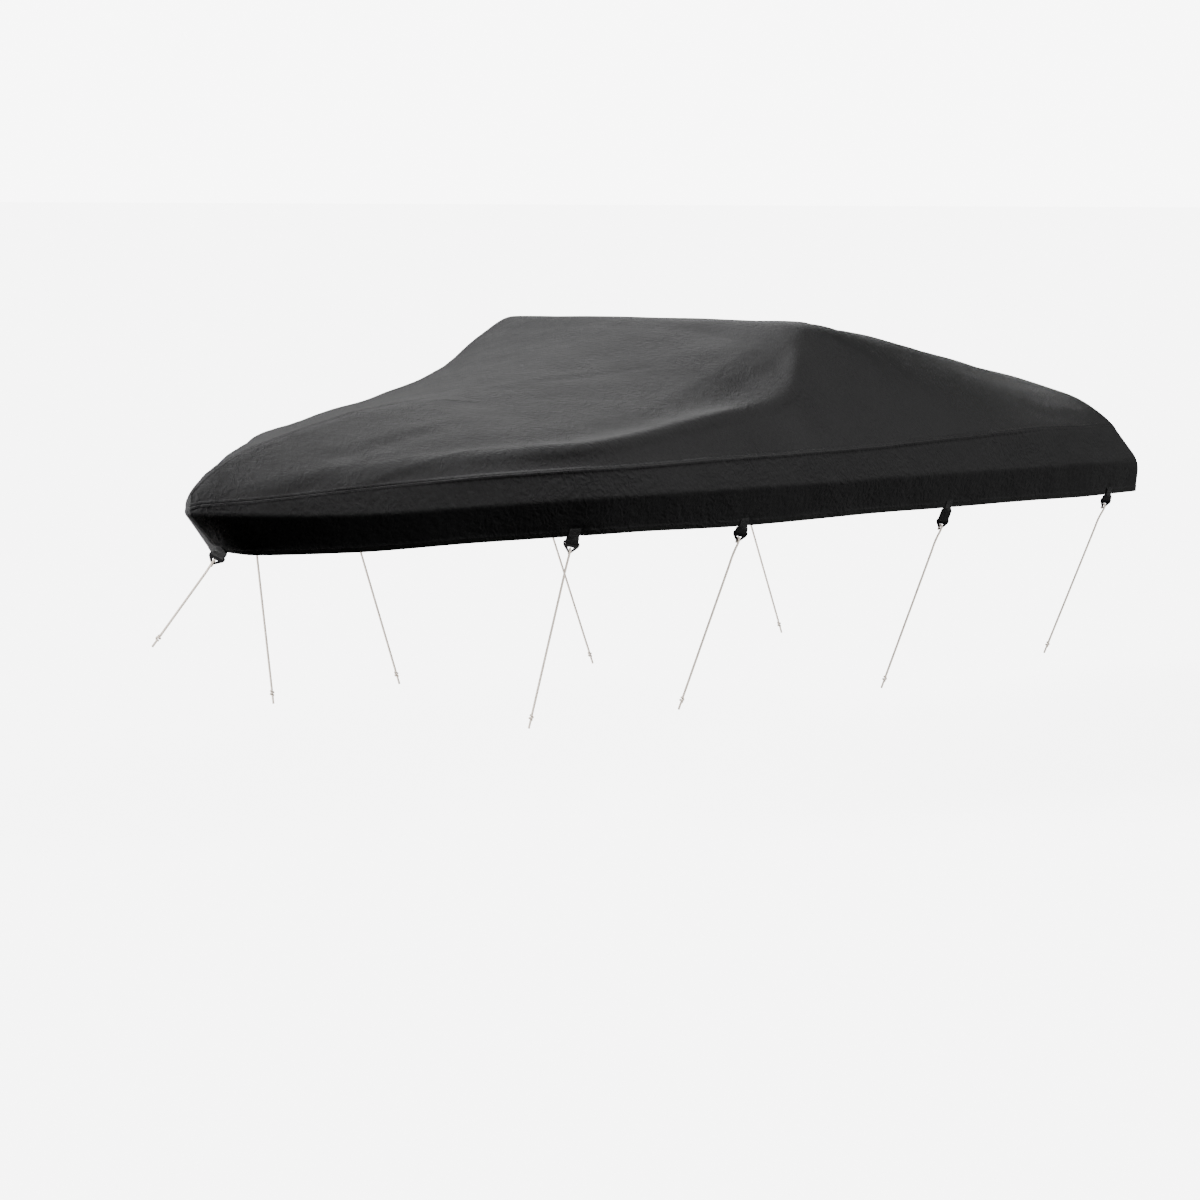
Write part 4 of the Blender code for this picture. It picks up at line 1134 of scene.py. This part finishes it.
nylon = ring_material()
rings = []
flat_points, flat_faces = ring_flat()
for label in LABELS:
    mesh = bpy.data.meshes.new(f"ring_{label}")
    depth = bar_depth(label) + flat_points[:, 1]
    mesh.from_pydata(on_tie(label, flat_points[:, 0], depth, flat_points[:, 2]).tolist(), [], flat_faces)
    mesh.shade_smooth()
    mesh.set_sharp_from_angle(angle=math.radians(35))
    ring = outward(in_scene(f"ring_{label}", mesh))
    mesh.materials.append(nylon)
    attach(ring, "root")
    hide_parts(f"buckle_{label}")
    rings.append(ring)


# ---- Floor and light -------------------------------------------------------------------------------------
# A wide pale floor lies where the ground is, a metre under the hem. The main light stands beyond the bow,
# and a weaker one high on the port side lifts the flank. The tie-downs hang in the cover's shade, so two
# lights without shadows fall on them alone.

FLOOR_DROP = 1.0
FLOOR_Z = -float(origin()[2]) - FLOOR_DROP
FLOOR_REACH = 300.0
FLOOR_GLOW, SKY_GLOW = 6.0, 8.0  # neither lights the cover
LIGHTS = {
    # towards the light, its width as an angle in degrees, its strength, and what alone it falls on
    "bow_light": ((-0.74, 0.55, 0.39), 22.0, 7.2, []),
    "port_light": ((0.40, -0.62, 0.67), 45.0, 1.5, []),
    "strap_light": ((-0.80, -0.60, 0.25), 90.0, 1.1, straps + rings),
    "rope_light": ((-0.70, -0.66, 0.28), 150.0, 6.8, list(ropes.values()) + stoppers),
}

floor_mesh = bpy.data.meshes.new("floor")
corners = ((-1, -1), (1, -1), (1, 1), (-1, 1))
floor_corners = [(x * FLOOR_REACH, y * FLOOR_REACH, FLOOR_Z) for x, y in corners]
floor_mesh.from_pydata(floor_corners, [], [(0, 1, 2, 3)])
floor = in_scene("floor", floor_mesh)
pale = Finish("pale_floor")
pale.put("Roughness", 0.9)
pale.put("Base Color", (0.86, 0.86, 0.86, 1.0))
pale.put("Emission Color", (1.0, 1.0, 1.0, 1.0))
pale.put("Emission Strength", FLOOR_GLOW)
floor_mesh.materials.append(pale.material)
floor.visible_diffuse = False
floor.visible_glossy = False

for name, (towards, width, strength, lit) in LIGHTS.items():
    sun = bpy.data.lights.new(name, "SUN")
    sun.energy = strength
    sun.angle = math.radians(width)
    lamp = in_scene(name, sun)
    x, y, z = towards
    lamp.rotation_euler = (0.0, math.atan2(math.hypot(x, y), z), math.atan2(y, x))
    if lit:
        lamp.light_linking.receiver_collection = bpy.data.collections.new(name)
        for obj in lit:
            lamp.light_linking.receiver_collection.objects.link(obj)
        sun.use_shadow = False

world = bpy.data.worlds.new("studio")
world.use_nodes = True
sky = world.node_tree.nodes["Background"]
sky.inputs["Color"].default_value = (1.0, 1.0, 1.0, 1.0)
sky.inputs["Strength"].default_value = SKY_GLOW
world.cycles_visibility.diffuse = False
world.cycles_visibility.glossy = False
bpy.context.scene.world = world
